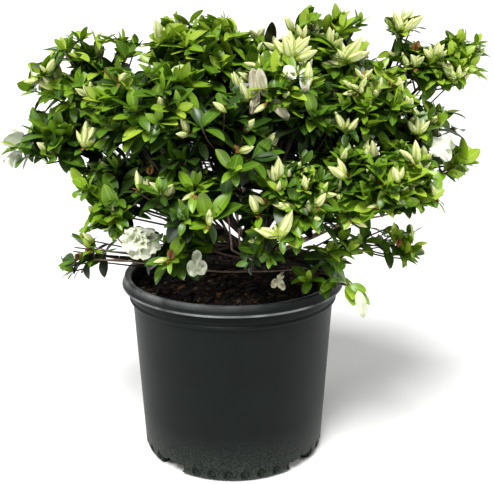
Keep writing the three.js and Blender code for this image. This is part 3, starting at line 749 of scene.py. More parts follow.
# Flower buds that stand out: the mass, the place where they grow from one twig's end, and how far each
# reaches from there.
PLACED_BUDS = (
    ("front_right", (54, -162, 322), ((14, -17, 35), (-33, -17, 9))),
    ("front_right", (89, -160, 355), ((15, -11, 17),)),
    ("front_right", (81, -156, 369), ((-2, -14, 19),)),
    ("front_right", (67, -164, 356), ((-24, -12, 4),)),
    ("front_right", (30, -158, 344), ((-8, -12, 20),)),
    ("front_low", (-36, -174, 371), ((-13, -11, -11),)),
    ("front_low", (-22, -174, 339), ((-2, -16, 18),)),
    ("front_low", (-95, -156, 369), ((-4, -11, 23),)),
    ("front_right", (52, -140, 373), ((-15, -13, 23), (-1, -16, 35))),
    ("front_right", (50, -156, 371), ((-2, -17, 17),)),
    ("left", (-167, -66, 401), ((-7, -11, 18), (2, -13, 27), (16, -15, 29), (-5, -19, 7))),
    ("top_left", (-156, -80, 459), ((-10, -14, 12), (2, -16, 16), (15, -15, 12))),
    ("left_low", (-128, -104, 329), ((-19, -11, 4), (-4, -10, 22))),
    ("left_sprig", (-170, -28, 279), ((-12, -10, 17),)),
    ("top", (-80, -52, 516), ((-7, -14, 26), (0, -13, 25), (8, -10, 19))),
    (
        "crown_right",
        (67, -104, 500),
        ((-20, -15, 21), (-9, -14, 26), (0, -14, 28), (10, -14, 26), (18, -15, 22), (25, -15, 13)),
    ),
    ("top_right", (79, -70, 520), ((-8, -10, 18), (6, -13, 17))),
    ("crown_right", (79, -126, 473), ((-2, -13, 27),)),
    ("crown_right", (66, -126, 483), ((-14, -12, 13),)),
    (
        "top_right",
        (124, -74, 498),
        ((-27, -13, 2), (-14, -12, 19), (-2, -16, 16), (15, -16, 28), (29, -16, 9)),
    ),
    ("right_upper", (139, -96, 468), ((-17, -13, 9), (-11, -15, 14), (3, -18, 13), (-16, -16, -2))),
    ("right_peak", (196, -24, 529), ((-18, -13, 21), (-8, -14, 16), (12, -10, 14), (21, -15, 18))),
    ("right_top", (210, -46, 490), ((-11, -17, 13), (4, -18, 10))),
    ("right_top", (227, -48, 499), ((-13, -14, 14), (-2, -14, 18), (7, -14, 14))),
    ("right_top", (254, -52, 476), ((-21, -14, 23), (-10, -12, 22), (1, -10, 20), (9, -12, 15))),
    ("right_upper", (197, -80, 447), ((-10, -16, 15), (3, -16, 15))),
    ("right", (215, -58, 414), ((-15, -11, 20), (0, -11, 23), (12, -11, 18))),
    ("right_upper", (128, -98, 424), ((-9, -11, 21), (13, -11, 17))),
    ("right_front", (121, -114, 393), ((6, -14, 18),)),
    ("right_front", (127, -128, 379), ((-24, -13, 14), (-10, -11, 21))),
    ("right_front", (200, -114, 391), ((-19, -12, 20), (-7, -11, 24), (8, -11, 20))),
    ("right_front", (181, -134, 374), ((-11, -14, 17), (8, -10, 19))),
    ("right_front", (131, -122, 333), ((20, -13, -11),)),
    ("right_front", (158, -130, 348), ((-17, -13, -6),)),
    ("crown_front", (-5, -156, 455), ((-10, -18, 9),)),
    ("crown_right", (2, -90, 458), ((-1, -16, -13),)),
    ("crown_right", (20, -120, 457), ((-12, -13, 23), (-5, -16, 15))),
    ("crown_right", (40, -132, 460), ((-19, -10, -7),)),
    ("top", (28, -16, 519), ((-9, -16, 12), (2, -18, 13), (10, -16, 12))),
    ("top_left", (-203, -70, 483), ((-4, -17, 12), (10, -17, 13))),
    ("crown_left", (-115, -134, 480), ((13, -17, 10),)),
    ("front_skirt", (-66, -136, 289), ((-19, -11, -3),)),
    ("right_front", (229, -104, 349), ((-7, -15, 18),)),
)
# Dry brown bud scales that have not dropped, by the place of each tuft.
HUSKS = (
    (197, -64, 283), (209, -40, 507), (-84, -142, 384), (-127, -114, 484), (-65, -138, 290),
    (-176, -34, 265), (-190, -34, 257),
)
# Thin old stems, bare low over the mix and at the front of the fan: the places that each passes
# through, and its radius.
LOW_STEMS = (
    (((28, -2, 238), (-8, -44, 246), (-40, -70, 259)), 1.1),
    (((-35, -66, 255), (25, -60, 252), (80, -66, 257), (134, -70, 270)), 1.0),
    (((28, 6, 244), (14, -20, 268), (-2, -42, 290), (-12, -62, 316)), 1.7),
    (((30, 8, 246), (16, -30, 282), (4, -50, 322)), 1.5),
    (((38, 4, 244), (84, -20, 280), (137, -30, 304)), 1.8),
    (((36, 6, 246), (70, -40, 290), (90, -70, 330)), 1.5),
    (((24, 12, 244), (-30, 0, 262), (-90, -6, 270)), 1.5),
    (((34, 4, 250), (81, -60, 287), (131, -75, 317), (188, -80, 329), (232, -80, 352)), 1.3),
    (((36, 6, 250), (79, -50, 288), (116, -60, 308), (163, -70, 325), (194, -76, 343)), 1.1),
    (((77, -50, 291), (101, -60, 323), (123, -70, 354)), 1.0),
    (((28, 8, 246), (0, -60, 279), (-4, -70, 324), (-10, -80, 358)), 1.3),
    (((30, 8, 248), (10, -50, 276), (7, -60, 323), (17, -66, 367)), 1.4),
    (((34, 10, 250), (63, -30, 288), (81, -40, 335), (94, -50, 385)), 1.3),
    (((33, 10, 248), (37, -20, 280), (43, -30, 327), (52, -36, 383)), 1.5),
    (((-92, -66, 262), (-128, -60, 284), (-150, -56, 312)), 1.0),
    (((-98, -30, 252), (-140, -24, 256), (-186, -20, 256)), 1.1),
    (((-110, -10, 262), (-150, -16, 264), (-176, -24, 274)), 0.9),
)


def in_sky_gap(point):
    """Whether a point lies in one of the gaps, which narrow towards someone a metre in front."""
    near = (point.y / 1000 - CAMERA_PLACE[1]) / -CAMERA_PLACE[1]
    x = CAMERA_PLACE[0] * 1000 + (point.x - CAMERA_PLACE[0] * 1000) / near
    z = CAMERA_PLACE[2] * 1000 + (point.z - CAMERA_PLACE[2] * 1000) / near
    return any(((x - a) / c) ** 2 + ((z - b) / d) ** 2 < 1 for a, b, c, d in SKY_GAPS)


def clumping(point):
    """Uneven growth: below 0 where few twigs grow, above 0 where they crowd."""
    return noise.noise(point / CLUMP_SIZE)


def seeded_random(seed):
    """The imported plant's own draw of chances, so that the same shoots grow here."""
    state = (seed * 2654435761) & 0xFFFFFFFF

    def draw():
        nonlocal state
        state = (state * 1664525 + 1013904223) & 0xFFFFFFFF
        return state / 4294967296

    return draw


def around(height, round_):
    """A way out from a middle, by its height from -1 to 1 and its angle round."""
    across = math.sqrt(1 - height * height)
    return Vector((across * math.cos(round_), across * math.sin(round_), height))


def over_pot(point, clearance):
    """Whether a point is inside the pot or lower than this above its rim."""
    return point.z < POT_HEIGHT / MM + clearance and point.to_2d().length < RIM_RADIUS / MM + RIM_CLEARANCE


twigs = []  # start, end, radius at each, and how far it bows
sprays = []  # end, axis, back along the twig, the mass's name, and what the twig ends in
LEAFY, BUDDED, BUDS_PLACED, BLOOMING = range(4)
CROWN_HALF = Vector((292, 196, 235))
SHADED = 0.5  # the share of the way out of the crown below which all is in shade
SHADE_FADE = 0.42


def exposure(point):
    """0 deep inside the crown, 1 at its outside and top."""
    local = Vector([(p - m) / h for p, m, h in zip(point, CROWN_MIDDLE, CROWN_HALF)])
    return min(max((local.length - SHADED) / SHADE_FADE, 0), 1)


for number, (name, mass) in enumerate(masses.items()):
    draw = seeded_random(number + SEED)
    chance = np.random.default_rng(100 + number)
    foot = mass.tip + mass.inward * GAP
    twigs.append((foot, mass.middle, BOUGH_TIP, STEM_RADIUS, 0))
    outward = ((mass.middle - TRUNK_TOP).normalized() + UP).normalized()
    to_outward = UP.rotation_difference(outward)
    spread = Vector([max(h - LEAF_INSET, LEAST_SPREAD) for h in mass.half])
    shoots = []
    for i in range(mass.shoots):
        way = to_outward @ around(1 - (i + 0.5) / mass.shoots * 1.55, i * GOLDEN_ANGLE + draw() * 0.7)
        ending = BUDDED if (i * 3 + number) % 10 < mass.budded else LEAFY
        shoots.append((0.97 - 0.7 * i / mass.shoots, mass.middle + way * spread, ending))
    if mass.bloom:
        shoots.append((BLOOM_SHARE, mass.middle + Vector(mass.bloom).normalized() * spread, BLOOMING))
    more = round(mass.shoots * mass.fill)
    for i in range(more):
        way = to_outward @ around(1 - (i + 0.5) / more * 1.75, (i + 0.5) * GOLDEN_ANGLE + chance.random())
        lumpy = 0.9 + 0.3 * noise.noise(way * 1.6 + Vector((number, 0, 0)))
        end = mass.middle + way * mass.half * min(lumpy * chance.uniform(0.42, 0.9), TWIG_REACH)
        if clumping(end) < BARE:
            continue
        rarity = 8 if end.y > 0 or end.x > 90 else 13  # buds are rarer at the front left
        share = chance.uniform(0.2, 0.95)
        shoots.append((share, end, BUDDED if chance.random() < mass.budded / rarity else LEAFY))
    for end in PLACED_SHOOTS.get(name, ()):
        shoots.append((chance.uniform(0.3, 0.9), Vector(end), LEAFY))
    for place, end, ways in PLACED_BUDS:
        if place == name:
            shoots.append((chance.uniform(0.3, 0.9), Vector(end), BUDS_PLACED))

    limb = limbs[name]
    for k in range(SIDE_STEMS):
        start = limb.at(chance.uniform(0.04, 0.5))
        end = mass.middle + Vector(chance.uniform(-0.5, 0.5, 3)) * mass.half
        twigs.append((start, end, chance.uniform(1.2, 2.0), TWIG_RADIUS, chance.uniform(0.0, 0.06)))
    for share, end, ending in shoots:
        fork = foot.lerp(mass.middle, share)
        placed = ending == BUDS_PLACED
        short = (end - fork).length < LEAST_SHOOT
        if over_pot(end, TWIG_CLEARANCE) or short or (in_sky_gap(end) and not placed):
            continue
        twigs.append((fork, end, SHOOT_RADIUS, TWIG_RADIUS, chance.uniform(0.02, 0.12)))
        back = (fork - end).normalized()
        sprays.append((end, (UP * 0.75 - back).normalized(), back, name, ending))
        for k in range(SIDE_TWIGS):
            start = fork.lerp(end, chance.uniform(0.3, 0.92))
            aside = back.orthogonal().normalized()
            aside.rotate(Matrix.Rotation(TURN * chance.random(), 3, back))
            side_way = (aside - back * chance.uniform(0.4, 1.2) + UP * 0.35).normalized()
            side_end = start + side_way * chance.uniform(*SIDE_TWIG_LENGTHS)
            kept_clear = over_pot(side_end, TWIG_CLEARANCE) or in_sky_gap(side_end)
            beyond = mass.depth(side_end) > TWIG_REACH
            if not kept_clear and not beyond and chance.random() < mass.fill / 2:
                twigs.append((start, side_end, TWIG_RADIUS, TWIG_END_RADIUS, 0.1))
                side_axis = (UP * 0.7 + side_way).normalized()
                rarity = 11 if side_end.y > 0 or side_end.x > 90 else 15
                ending_too = BUDDED if chance.random() < mass.budded / rarity else LEAFY
                sprays.append((side_end, side_axis, -side_way, name, ending_too))

TWIG_SIDES = 5
TWIG_RINGS = 4


def twig_mesh(twigs):
    """Bowed, tapering tubes: rings of a few sides, closed by a point at the end."""
    points, faces = [], []
    for n, (start, end, radius, end_radius, bow) in enumerate(twigs):
        way = (end - start).normalized()
        side = way.orthogonal().normalized()
        across = way.cross(side)
        sag = (UP - way * way.z) * (end - start).length * bow
        for k in range(TWIG_RINGS):
            share = k / (TWIG_RINGS - 1)
            here = start.lerp(end, share) - sag * 4 * share * (1 - share)
            thick = radius + (end_radius - radius) * share
            for j in range(TWIG_SIDES):
                angle = TURN * j / TWIG_SIDES
                points.append(here + (side * math.cos(angle) + across * math.sin(angle)) * thick)
        points.append(end + way * end_radius * 2)
        first = n * (TWIG_RINGS * TWIG_SIDES + 1)
        faces += between_rings(TWIG_RINGS - 1, TWIG_SIDES, first)
        last = first + (TWIG_RINGS - 1) * TWIG_SIDES
        for j in range(TWIG_SIDES):
            faces.append([last + j, last + (j + 1) % TWIG_SIDES, first + TWIG_RINGS * TWIG_SIDES])
    return np.array(points) * MM, faces


def stem_bark(name, grain, detail, dark_sRGB, sRGB):
    """Smooth thin bark, matt, and uneven in patches of a real size."""
    material, tree, shader = new_material(name)
    tree.links.new(patches(tree, grain, dark_sRGB, sRGB, detail)[0], shader.inputs["Base Color"])
    shader.inputs["Roughness"].default_value = 0.7
    return material


# Young azalea wood is a dull reddish brown.
twig_points, twig_faces = twig_mesh(twigs)
young_bark = stem_bark("young_azalea_bark", 12 * MM, 3.0, "#18100b", "#54402c")
twig_piece = piece_from_arrays("twigs", twig_points, twig_faces, young_bark)
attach(twig_piece, "root")
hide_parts(*["foliage_" + name for name in MASSES])

# The bare old stems are paler than the young wood, and their colour is made paler still as painted light,
# since they stand in the crown's shade.
low_stems = []
for (start, *bends), thick in LOW_STEMS:
    for a, b in zip((start, *bends), bends):
        low_stems.append((Vector(a), Vector(b), thick, thick * 0.85, 0.02))
stem_points, stem_faces = twig_mesh(low_stems)
old_bark_and_painted_light = stem_bark("bare_azalea_stem_painted_light", 5 * MM, 4.0, "#54423a", "#c0a290")
stem_piece = piece_from_arrays("low_stems", stem_points, stem_faces, old_bark_and_painted_light)
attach(stem_piece, "root")

# ---- Leaves ----
# Small evergreen leaves in a rosette at each twig's end: young ones upright in the middle, full ones
# leaning out, and last year's, darker, behind them. Widest past the middle, pointed, folded at the rib.
LEAF_LENGTH = 48
LEAF_SLIMNESS = 0.42
LEAF_STATIONS = np.array([0.07, 0.18, 0.32, 0.46, 0.6, 0.74, 0.86, 0.95])
LEAF_OUTLINE = np.array([0.15, 0.42, 0.76, 0.96, 1.0, 0.88, 0.62, 0.32])
LEAF_REACH = 1.09  # how far out of its mass a leaf's tip may pass
LEAF_CLEARANCE = 4  # over the pot's rim
SHORTENED_LEAF = 20  # leaves longer than this are shortened at the edge of their mass
LEAST_LEAF = 12
# For the full leaves, the young ones and last year's: how far they lean out in degrees and how much that
# varies, and the shortest and longest as a share of a leaf's length.
FULL_LEAN, FULL_SIZE = (60, 12), (0.7, 1.08)
YOUNG_LEAN, YOUNG_SIZE = (26, 10), (0.42, 0.85)
OLD_LEAN, OLD_SIZE = (84, 14), (0.65, 1.0)
OLD_PLACES = (9, 26)  # how far back along the twig last year's leaves sit
RIB_WIDTH = 0.06  # as a share of the leaf's width
LEAF_MOTTLE = 26 * MM
# For each tone, from painted shade to painted light: the blade, its darker mottle, and the rib.
LEAF_TONES = {
    "leaves_shade": ("#1f2e14", "#10190b", "#4c6131"),
    "leaves_deep": ("#375819", "#223b0f", "#6c8c3a"),
    "leaves_green": ("#5f861d", "#3d6212", "#a0bf58"),
    "leaves_bright": ("#87ab24", "#5b8417", "#c0d574"),
    "leaves_young_and_lit": ("#adc73a", "#82a127", "#d2e08a"),
}
tones = list(LEAF_TONES)
# A leaf's step of tone, as painted light and shade: this much in the shade, more where it is exposed, and
# more the higher it grows, where the light from above falls.
SHADE_TONE = 0.3
LIT_TONES = 2.4
TONE_HEIGHT = 400
TONE_RISE = 500
# How much lighter or darker than by their place alone the leaves of a mass are, in steps of tone: more
# painted light and shade, set for each mass.
LIGHTER = {
    "crown_left": -0.5,
    "top_left": 0.1,
    "top": 0.7,
    "crown_right": -0.4,
    "left_low": 0.7,
    "left_sprig": 0.8,
    "front_low": -0.5,
    "front_skirt": 1.1,
    "right_low": 1.7,
    "right_skirt": 1.7,
    "right_front": 0.4,
    "front_right": -0.1,
    "crown_front": -1.1,
    "heart": -1.0,
}
# The leaves of the low sprigs over the rim have this share of the others' size.
LOW_MASSES = ("left_sprig", "right_low", "right_skirt")
LOW_LEAF_SIZE = 0.78

leaf_along = np.concatenate(([0], np.repeat(LEAF_STATIONS, 3), [1]))
leaf_across = np.concatenate(([0], np.outer(LEAF_OUTLINE, (-1, 0, 1)).ravel(), [0]))
leaf_faces = [(0, 2, 1), (0, 3, 2)]
for k in range(len(LEAF_STATIONS) - 1):
    first = 1 + 3 * k
    leaf_faces += [(first, first + 1, first + 4, first + 3), (first + 1, first + 2, first + 5, first + 4)]
last = 1 + 3 * (len(LEAF_STATIONS) - 1)
leaf_faces += [(last, last + 1, last + 3), (last + 1, last + 2, last + 3)]
leaf_uv = np.stack((leaf_across / 2 + 0.5, leaf_along), axis=1)


def blades(rows, along, across, faces):
    """Joined copies of one flat outline. A row is root, way, face, length, width, droop, fold."""
    root, way, face = (np.array([row[k] for row in rows]) for k in range(3))
    length, width, droop, fold = (np.array([row[k] for row in rows])[:, None, None] for k in range(3, 7))
    side = np.cross(face, way)
    side /= np.linalg.norm(side, axis=1)[:, None]
    top = np.cross(way, side)
    root, way, side, top = (a[:, None, :] for a in (root, way, side, top))
    v = along[None, :, None]
    u = across[None, :, None]
    bent = droop * length * (v**2) * 0.5
    points = root + way * (length * v - bent * droop * v * 0.3) - top * bent
    points = points + side * (u * width / 2) + top * (abs(u) * width / 2 * fold)
    count = len(along)
    joined = [[k + n * count for k in f] for n in range(len(rows)) for f in faces]
    return points.reshape(-1, 3) * MM, joined


leaves = {tone: [] for tone in tones}
chance = np.random.default_rng(5)


def ring_way(axis, round_, lean):
    """A way that leans out from an axis, by its angle round it."""
    side = Vector((1, 0, 0)).cross(axis).normalized()
    side.rotate(Matrix.Rotation(round_, 3, axis))
    return (axis * math.cos(lean) + side * math.sin(lean)).normalized()


def grow_leaf(mass, root, way, face, length, tone):
    """Adds a leaf to its tone, shortened or left out where it would pass the mass's reach or the pot."""
    while mass.depth(root + way * length) > LEAF_REACH and length > SHORTENED_LEAF:
        length *= 0.85
    tip = root + way * length
    in_gap = any(in_sky_gap(root + way * length * share) for share in (0.35, 0.7, 1))
    if length < LEAST_LEAF or over_pot(tip, LEAF_CLEARANCE) or in_gap:
        return
    width = length * LEAF_SLIMNESS * chance.uniform(0.82, 1.18)
    face = face + Vector(chance.normal(0, 0.25, 3))
    row = (root, way, face, length, width, chance.uniform(-0.1, 0.8), chance.uniform(0.1, 0.45))
    leaves[tones[min(max(round(tone), 0), 4)]].append(row)


for end, axis, back, name, ending in sprays:
    mass = masses[name]
    vigour = chance.uniform(0.7, 1.05) * (LOW_LEAF_SIZE if name in LOW_MASSES else 1)
    turn = TURN * chance.random()
    # A leaf's tone is painted light and shade: darker deep in the crown and low down, lighter at its outside
    # and top.
    lit = SHADE_TONE + LIT_TONES * exposure(end) + (end.z - TONE_HEIGHT) / TONE_RISE + chance.normal(0, 0.6)
    lit += LIGHTER.get(name, 0)
    full = 2 if ending == BLOOMING else chance.integers(4, 7)
    for i in range(full):
        way = ring_way(axis, turn + i * GOLDEN_ANGLE, math.radians(chance.normal(*FULL_LEAN)))
        root = end + back * (0.5 + 1.0 * i)
        size = LEAF_LENGTH * vigour * chance.uniform(*FULL_SIZE)
        grow_leaf(mass, root, way, axis + UP, size, lit + chance.normal(0, 0.7))
    if ending == LEAFY:
        for i in range(3):
            way = ring_way(axis, turn + 1 + i * GOLDEN_ANGLE, math.radians(chance.normal(*YOUNG_LEAN)))
            size = LEAF_LENGTH * vigour * chance.uniform(*YOUNG_SIZE)
            grow_leaf(mass, end, way, axis - way * 0.9, size, lit + 0.8 + chance.normal(0, 0.3))
    for i in range(3):
        way = ring_way(axis, turn + 2 + i * GOLDEN_ANGLE, math.radians(chance.normal(*OLD_LEAN)))
        root = end + back * chance.uniform(*OLD_PLACES)
        size = LEAF_LENGTH * vigour * chance.uniform(*OLD_SIZE)
        grow_leaf(mass, root, way, axis + UP, size, lit - 1.3)


def leaf_material(name, sRGB, dark_sRGB, rib_sRGB):
    """A living evergreen leaf: waxy and satin, a paler rib, and a mottled green."""
    material, tree, shader = new_material(name)
    green = patches(tree, LEAF_MOTTLE, dark_sRGB, sRGB, 2.0)[0]
    across = add_node(tree, "ShaderNodeTexCoord").outputs["UV"]
    across = add_node(tree, "ShaderNodeSeparateXYZ", links={0: across}).outputs["X"]
    offset = add_node(tree, "ShaderNodeMath", {"operation": "SUBTRACT", 1: 0.5}, {0: across})
    apart = add_node(tree, "ShaderNodeMath", {"operation": "ABSOLUTE"}, {0: offset.outputs[0]})
    fade = {"From Min": 0.0, "From Max": RIB_WIDTH, "To Min": 0.4, "To Max": 0.0}
    rib = add_node(tree, "ShaderNodeMapRange", fade, {"Value": apart.outputs[0]})
    ribbed = {"data_type": "RGBA", 7: linear(rib_sRGB)}
    colour = add_node(tree, "ShaderNodeMix", ribbed, {0: rib.outputs[0], 6: green})
    tree.links.new(colour.outputs[2], shader.inputs["Base Color"])
    shader.inputs["Roughness"].default_value = 0.34
    shader.inputs["Specular IOR Level"].default_value = 0.42
    return material


for tone, colours in LEAF_TONES.items():
    rows = leaves[tone]
    leaf_points, joined_faces = blades(rows, leaf_along, leaf_across, leaf_faces)
    corner_uv = np.concatenate([leaf_uv[list(f)] for f in leaf_faces])
    uv = np.tile(corner_uv, (len(rows), 1))
    piece = piece_from_arrays(tone, leaf_points, joined_faces, leaf_material(tone, *colours), uv)
    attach(piece, "root")

# ---- Flower buds ----
# Pointed buds about to open, one to three at most budded twigs' ends and more in the big clusters: cream
# petals rolled on each other, with a yellow-green line along each overlap, in a green base with brown
# scales.
BUD_LENGTH = 35
BUD_WIDTH = 11.5
BUD_STATIONS = np.array([0.0, 0.07, 0.2, 0.38, 0.56, 0.74, 0.9])
BUD_OUTLINE = np.array([0.2, 0.4, 0.72, 0.98, 1.0, 0.74, 0.34])
BUD_PETALS = 5
BUD_SEAM = 0.56  # the share of each petal's width that its green line takes at the base, less at the tip
BUD_TWIST = 0.16  # turns from base to tip
BUD_GROOVE = 0.88  # how far out a groove lies, as a share of the bud's half width
BUD_LEAN = (6, 50)  # in degrees
BUD_SIZES = (0.58, 0.95)  # as shares of the full length and width
LEAST_BUD = 0.5
BUD_REACH = 1.04  # how far out of its mass a bud's tip may pass
BUD_CLEARANCE = 6  # over the pot's rim
# The brown scales at a bud's foot, and those of a husk: their length, and their width, droop and fold.
SCALE_LENGTH, SCALE_SHAPE = 9, (4.6, 0.5, 0.3)
HUSK_LENGTH, HUSK_SHAPE = 12, (5.5, 0.3, 0.6)


def bud_template():
    """A spindle with a groove and a narrow coloured strip at each petal's edge, twisting to the tip."""
    points = []
    sides = 2 * BUD_PETALS
    for station, half in zip(BUD_STATIONS, BUD_OUTLINE):
        for j in range(sides):
            share = (j // 2 + (BUD_SEAM * (1 - 0.7 * station) if j % 2 else 0)) / BUD_PETALS
            angle = TURN * (share + BUD_TWIST * station)
            radius = half / 2 * (BUD_GROOVE if j % 2 else 1.0)
            points.append((radius * math.cos(angle), radius * math.sin(angle), station))
    points.append((0, 0, 1))
    rings = len(BUD_STATIONS) - 1
    faces = between_rings(rings, sides)
    kinds = [0 if k < 2 else 2 if j % 2 == 0 or k < 3 else 1 for k in range(rings) for j in range(sides)]
    last = rings * sides
    for j in range(sides):
        faces.append((last + j, last + (j + 1) % sides, len(points) - 1))
        kinds.append(2 if j % 2 == 0 else 1)
    return np.array(points), faces, kinds


def petal_material(name, sRGB, dark_sRGB, grain):
    """Petal flesh: matt and soft, with a faint uneven tint."""
    material, tree, shader = new_material(name)
    tree.links.new(patches(tree, grain * MM, dark_sRGB, sRGB, 2.0)[0], shader.inputs["Base Color"])
    shader.inputs["Roughness"].default_value = 0.55
    return material


bud_points, bud_faces, bud_kinds = bud_template()
buds = []
scales = []
for end, axis, back, name, ending in sprays:
    if ending != BUDDED or exposure(end) < 0.25:
        continue
    turn = TURN * chance.random()
    count = chance.integers(1, 4)
    for i in range(count):
        lean = math.radians(chance.uniform(*BUD_LEAN))
        way = ring_way(axis, turn + i * TURN / count + chance.normal(0, 0.2), lean)
        size = chance.uniform(*BUD_SIZES)
        while masses[name].depth(end + way * BUD_LENGTH * size) > BUD_REACH and size > LEAST_BUD:
            size *= 0.9
        tip = end + way * BUD_LENGTH * size
        if not over_pot(tip, BUD_CLEARANCE) and not in_sky_gap(tip):
            buds.append((end, way, size, TURN * chance.random()))
    for i in range(4):
        way = ring_way(axis, turn + i * TURN / 4, math.radians(chance.uniform(40, 75)))
        scales.append((end, way, axis, SCALE_LENGTH * chance.uniform(0.7, 1.3), *SCALE_SHAPE))
# Between the placed buds of a cluster, shorter ones stand a little further in.
for name, place, ways in PLACED_BUDS:
    younger = [(Vector(a) + Vector(b)) * 0.4 for a, b in zip(ways, ways[1:])]
    for way in [*map(Vector, ways), *younger]:
        way += Vector((chance.uniform(-4, 4), chance.uniform(-4, 12), chance.uniform(-3, 5)))
        start = Vector(place) + Vector(chance.uniform(-3, 3, 3))
        buds.append((start, way.normalized(), way.length / BUD_LENGTH, TURN * chance.random()))
    for i in range(3):
        way = ring_way(Vector(ways[0]).normalized(), i * TURN / 3, math.radians(chance.uniform(30, 60)))
        scales.append((Vector(place), way, UP, SCALE_LENGTH * chance.uniform(0.7, 1.3), *SCALE_SHAPE))
for place in HUSKS:
    for i in range(7):
        way = ring_way(UP, i * TURN * 0.4, math.radians(chance.uniform(5, 28)))
        length = HUSK_LENGTH * chance.uniform(0.7, 1.1)
        scales.append((Vector(place), way, way.cross(UP), length, *HUSK_SHAPE))

points = []
for end, way, size, turn in buds:
    toward = np.array(UP.rotation_difference(way).to_matrix() @ Matrix.Rotation(turn, 3, "Z"))
    scaled = bud_points * (BUD_WIDTH * size, BUD_WIDTH * size, BUD_LENGTH * size)
    points.append(scaled @ toward.T + np.array(end - way * 1))
faces = [[k + n * len(bud_points) for k in f] for n in range(len(buds)) for f in bud_faces]
bud_piece = piece_from_arrays(
    "buds", np.concatenate(points) * MM, faces, petal_material("bud_base_green", "#93a83a", "#66832a", 9)
)
bud_piece.data.materials.append(petal_material("bud_petal_cream", "#f3f3c4", "#cfd584", 9))
bud_piece.data.materials.append(petal_material("bud_line_green", "#c2cf62", "#96a93c", 9))
bud_piece.data.polygons.foreach_set("material_index", np.tile(bud_kinds, len(buds)))
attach(bud_piece, "root")

scale_points, scale_faces = blades(scales, leaf_along, leaf_across, leaf_faces)
scale_piece = piece_from_arrays(
    "bud_scales", scale_points, scale_faces, petal_material("dry_bud_scale", "#a8763a", "#4d3218", 5)
)
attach(scale_piece, "root")

# ---- Open flowers ----
# A few white blooms past their best, each with soft petals that are frilled, creased and limp at their
# edges, and single petals that still hang where a flower has broken up.
PETAL_ROWS = 9
PETAL_COLUMNS = 8
PETAL_BLUNTNESS = 0.85  # the share of a pointed outline at which the petal ends
# For each bloom, by its mass: petals, their length and width, how far they lean out, how limp they are.
BLOOMS = {
    "left": (5, 30, 24, 52, 0.25),
    "front_skirt": (3, 20, 18, 40, 0.1),
    "crown_right": (3, 22, 16, 60, 0.3),
    "right": (6, 32, 24, 56, 0.25),
    "right_skirt": (2, 12, 7, 80, 0.5),
}
# Petals that hang on alone: by kind, the root and the tip of each, and its width.
LONE_PETALS = (
    ("flowers_faded", (24, -124, 494), (28, -130, 464), 11),
    ("flowers_faded", (30, -128, 494), (37, -132, 468), 10),
    ("flowers_faded", (40, -130, 463), (62, -138, 447), 12),
    ("flowers_faded", (30, -126, 468), (22, -134, 450), 9),
    ("flowers_white", (57, -126, 496), (68, -136, 487), 11),
    ("flowers_white", (77, -128, 494), (79, -132, 470), 11),
    ("flowers_crumpled", (142, -126, 250), (150, -130, 222), 11),
    ("flowers_faded", (52, -120, 262), (46, -124, 254), 8),
    ("flowers_faded", (52, -120, 262), (60, -124, 252), 8),
    ("flowers_faded", (53, -120, 262), (58, -122, 270), 7),
    ("flowers_white", (-250, -40, 397), (-255, -48, 376), 12),
    ("flowers_white", (232, -50, 412), (240, -56, 392), 16),
    ("flowers_white", (240, -50, 410), (258, -56, 404), 15),
    ("flowers_white", (238, -50, 408), (252, -58, 388), 16),
    ("flowers_crumpled", (-37, -130, 299), (-37, -134, 284), 10),
    ("flowers_crumpled", (-39, -131, 288), (-42, -138, 273), 15),
    ("flowers_crumpled", (-35, -132, 288), (-31, -137, 274), 14),
)
FADED = ("crown_right",)  # the mass whose bloom has withered
# The crumpled bloom over the rim: its middle, the way it faces, and for each ring of petals how many there
# are, how long and wide, and how far they lean out.
CRUMPLED_MIDDLE = Vector((-99, -120, 306))
CRUMPLED_FACE = Vector((-0.25, -1, 0.35)).normalized()
CRUMPLED_RINGS = ((7, 21, 22, 84), (5, 17, 19, 52), (3, 12, 12, 24))


def petal(root, way, face, length, width, limp, crumple, seed):
    """A frilled sheet: narrow at its root, broad and wavy past the middle, and curling down."""
    side = face.cross(way).normalized()
    top = way.cross(side)
    points = []
    for k in range(PETAL_ROWS + 1):
        v = k / PETAL_ROWS
        half = width / 2 * (0.12 + 0.95 * math.sin(math.pi * (PETAL_BLUNTNESS * v) ** 0.8) ** 0.7)
        for j in range(PETAL_COLUMNS + 1):
            u = 2 * j / PETAL_COLUMNS - 1
            creases = noise.noise(Vector((u * 1.7, v * 2.6, seed))) * v * 8 * crumple
            frill = creases + math.sin(u * 5 + seed) * v * 1.8
            fall = limp * length * v**2.2
            reach = length * (v - 0.1 * u * u * v)
            points.append(root + way * reach + side * (u * half) + top * frill - UP * fall)
    faces = []
    wide = PETAL_COLUMNS + 1
    for k in range(PETAL_ROWS):
        for j in range(PETAL_COLUMNS):
            a = k * wide + j
            faces.append([a, a + 1, a + 1 + wide, a + wide])
    return points, faces


petals = {kind: [] for kind in ("flowers_white", "flowers_crumpled", "flowers_faded")}
for end, axis, back, name, ending in sprays:
    if ending != BLOOMING:
        continue
    count, length, width, lean, limp = BLOOMS[name]
    turn = TURN * chance.random()
    kind = "flowers_faded" if name in FADED else "flowers_white"
    for i in range(count):
        way = ring_way(-back, turn + i * TURN / count, math.radians(lean + chance.uniform(-9, 9)))
        row = (end, way, axis + UP * 0.2, length, width, limp, 1.0, chance.uniform(0, 50))
        petals[kind].append(row)
for count, length, width, lean in CRUMPLED_RINGS:
    for i in range(count):
        way = ring_way(CRUMPLED_FACE, (i + chance.uniform(0, 0.5)) * TURN / count, math.radians(lean))
        stretch = 0.8 + 0.3 * abs(way.x)
        face = CRUMPLED_FACE + Vector(chance.normal(0, 0.3, 3))
        row = (CRUMPLED_MIDDLE, way, face, length * stretch, width, 0.08, 1.1, chance.uniform(0, 50))
        petals["flowers_crumpled"].append(row)
for kind, root, tip, width in LONE_PETALS:
    way = Vector(tip) - Vector(root)
    face = Vector((0, -1, 0.3))
    row = (Vector(root), way.normalized(), face, way.length, width, 0.1, 1.5, chance.uniform(0, 50))
    petals[kind].append(row)

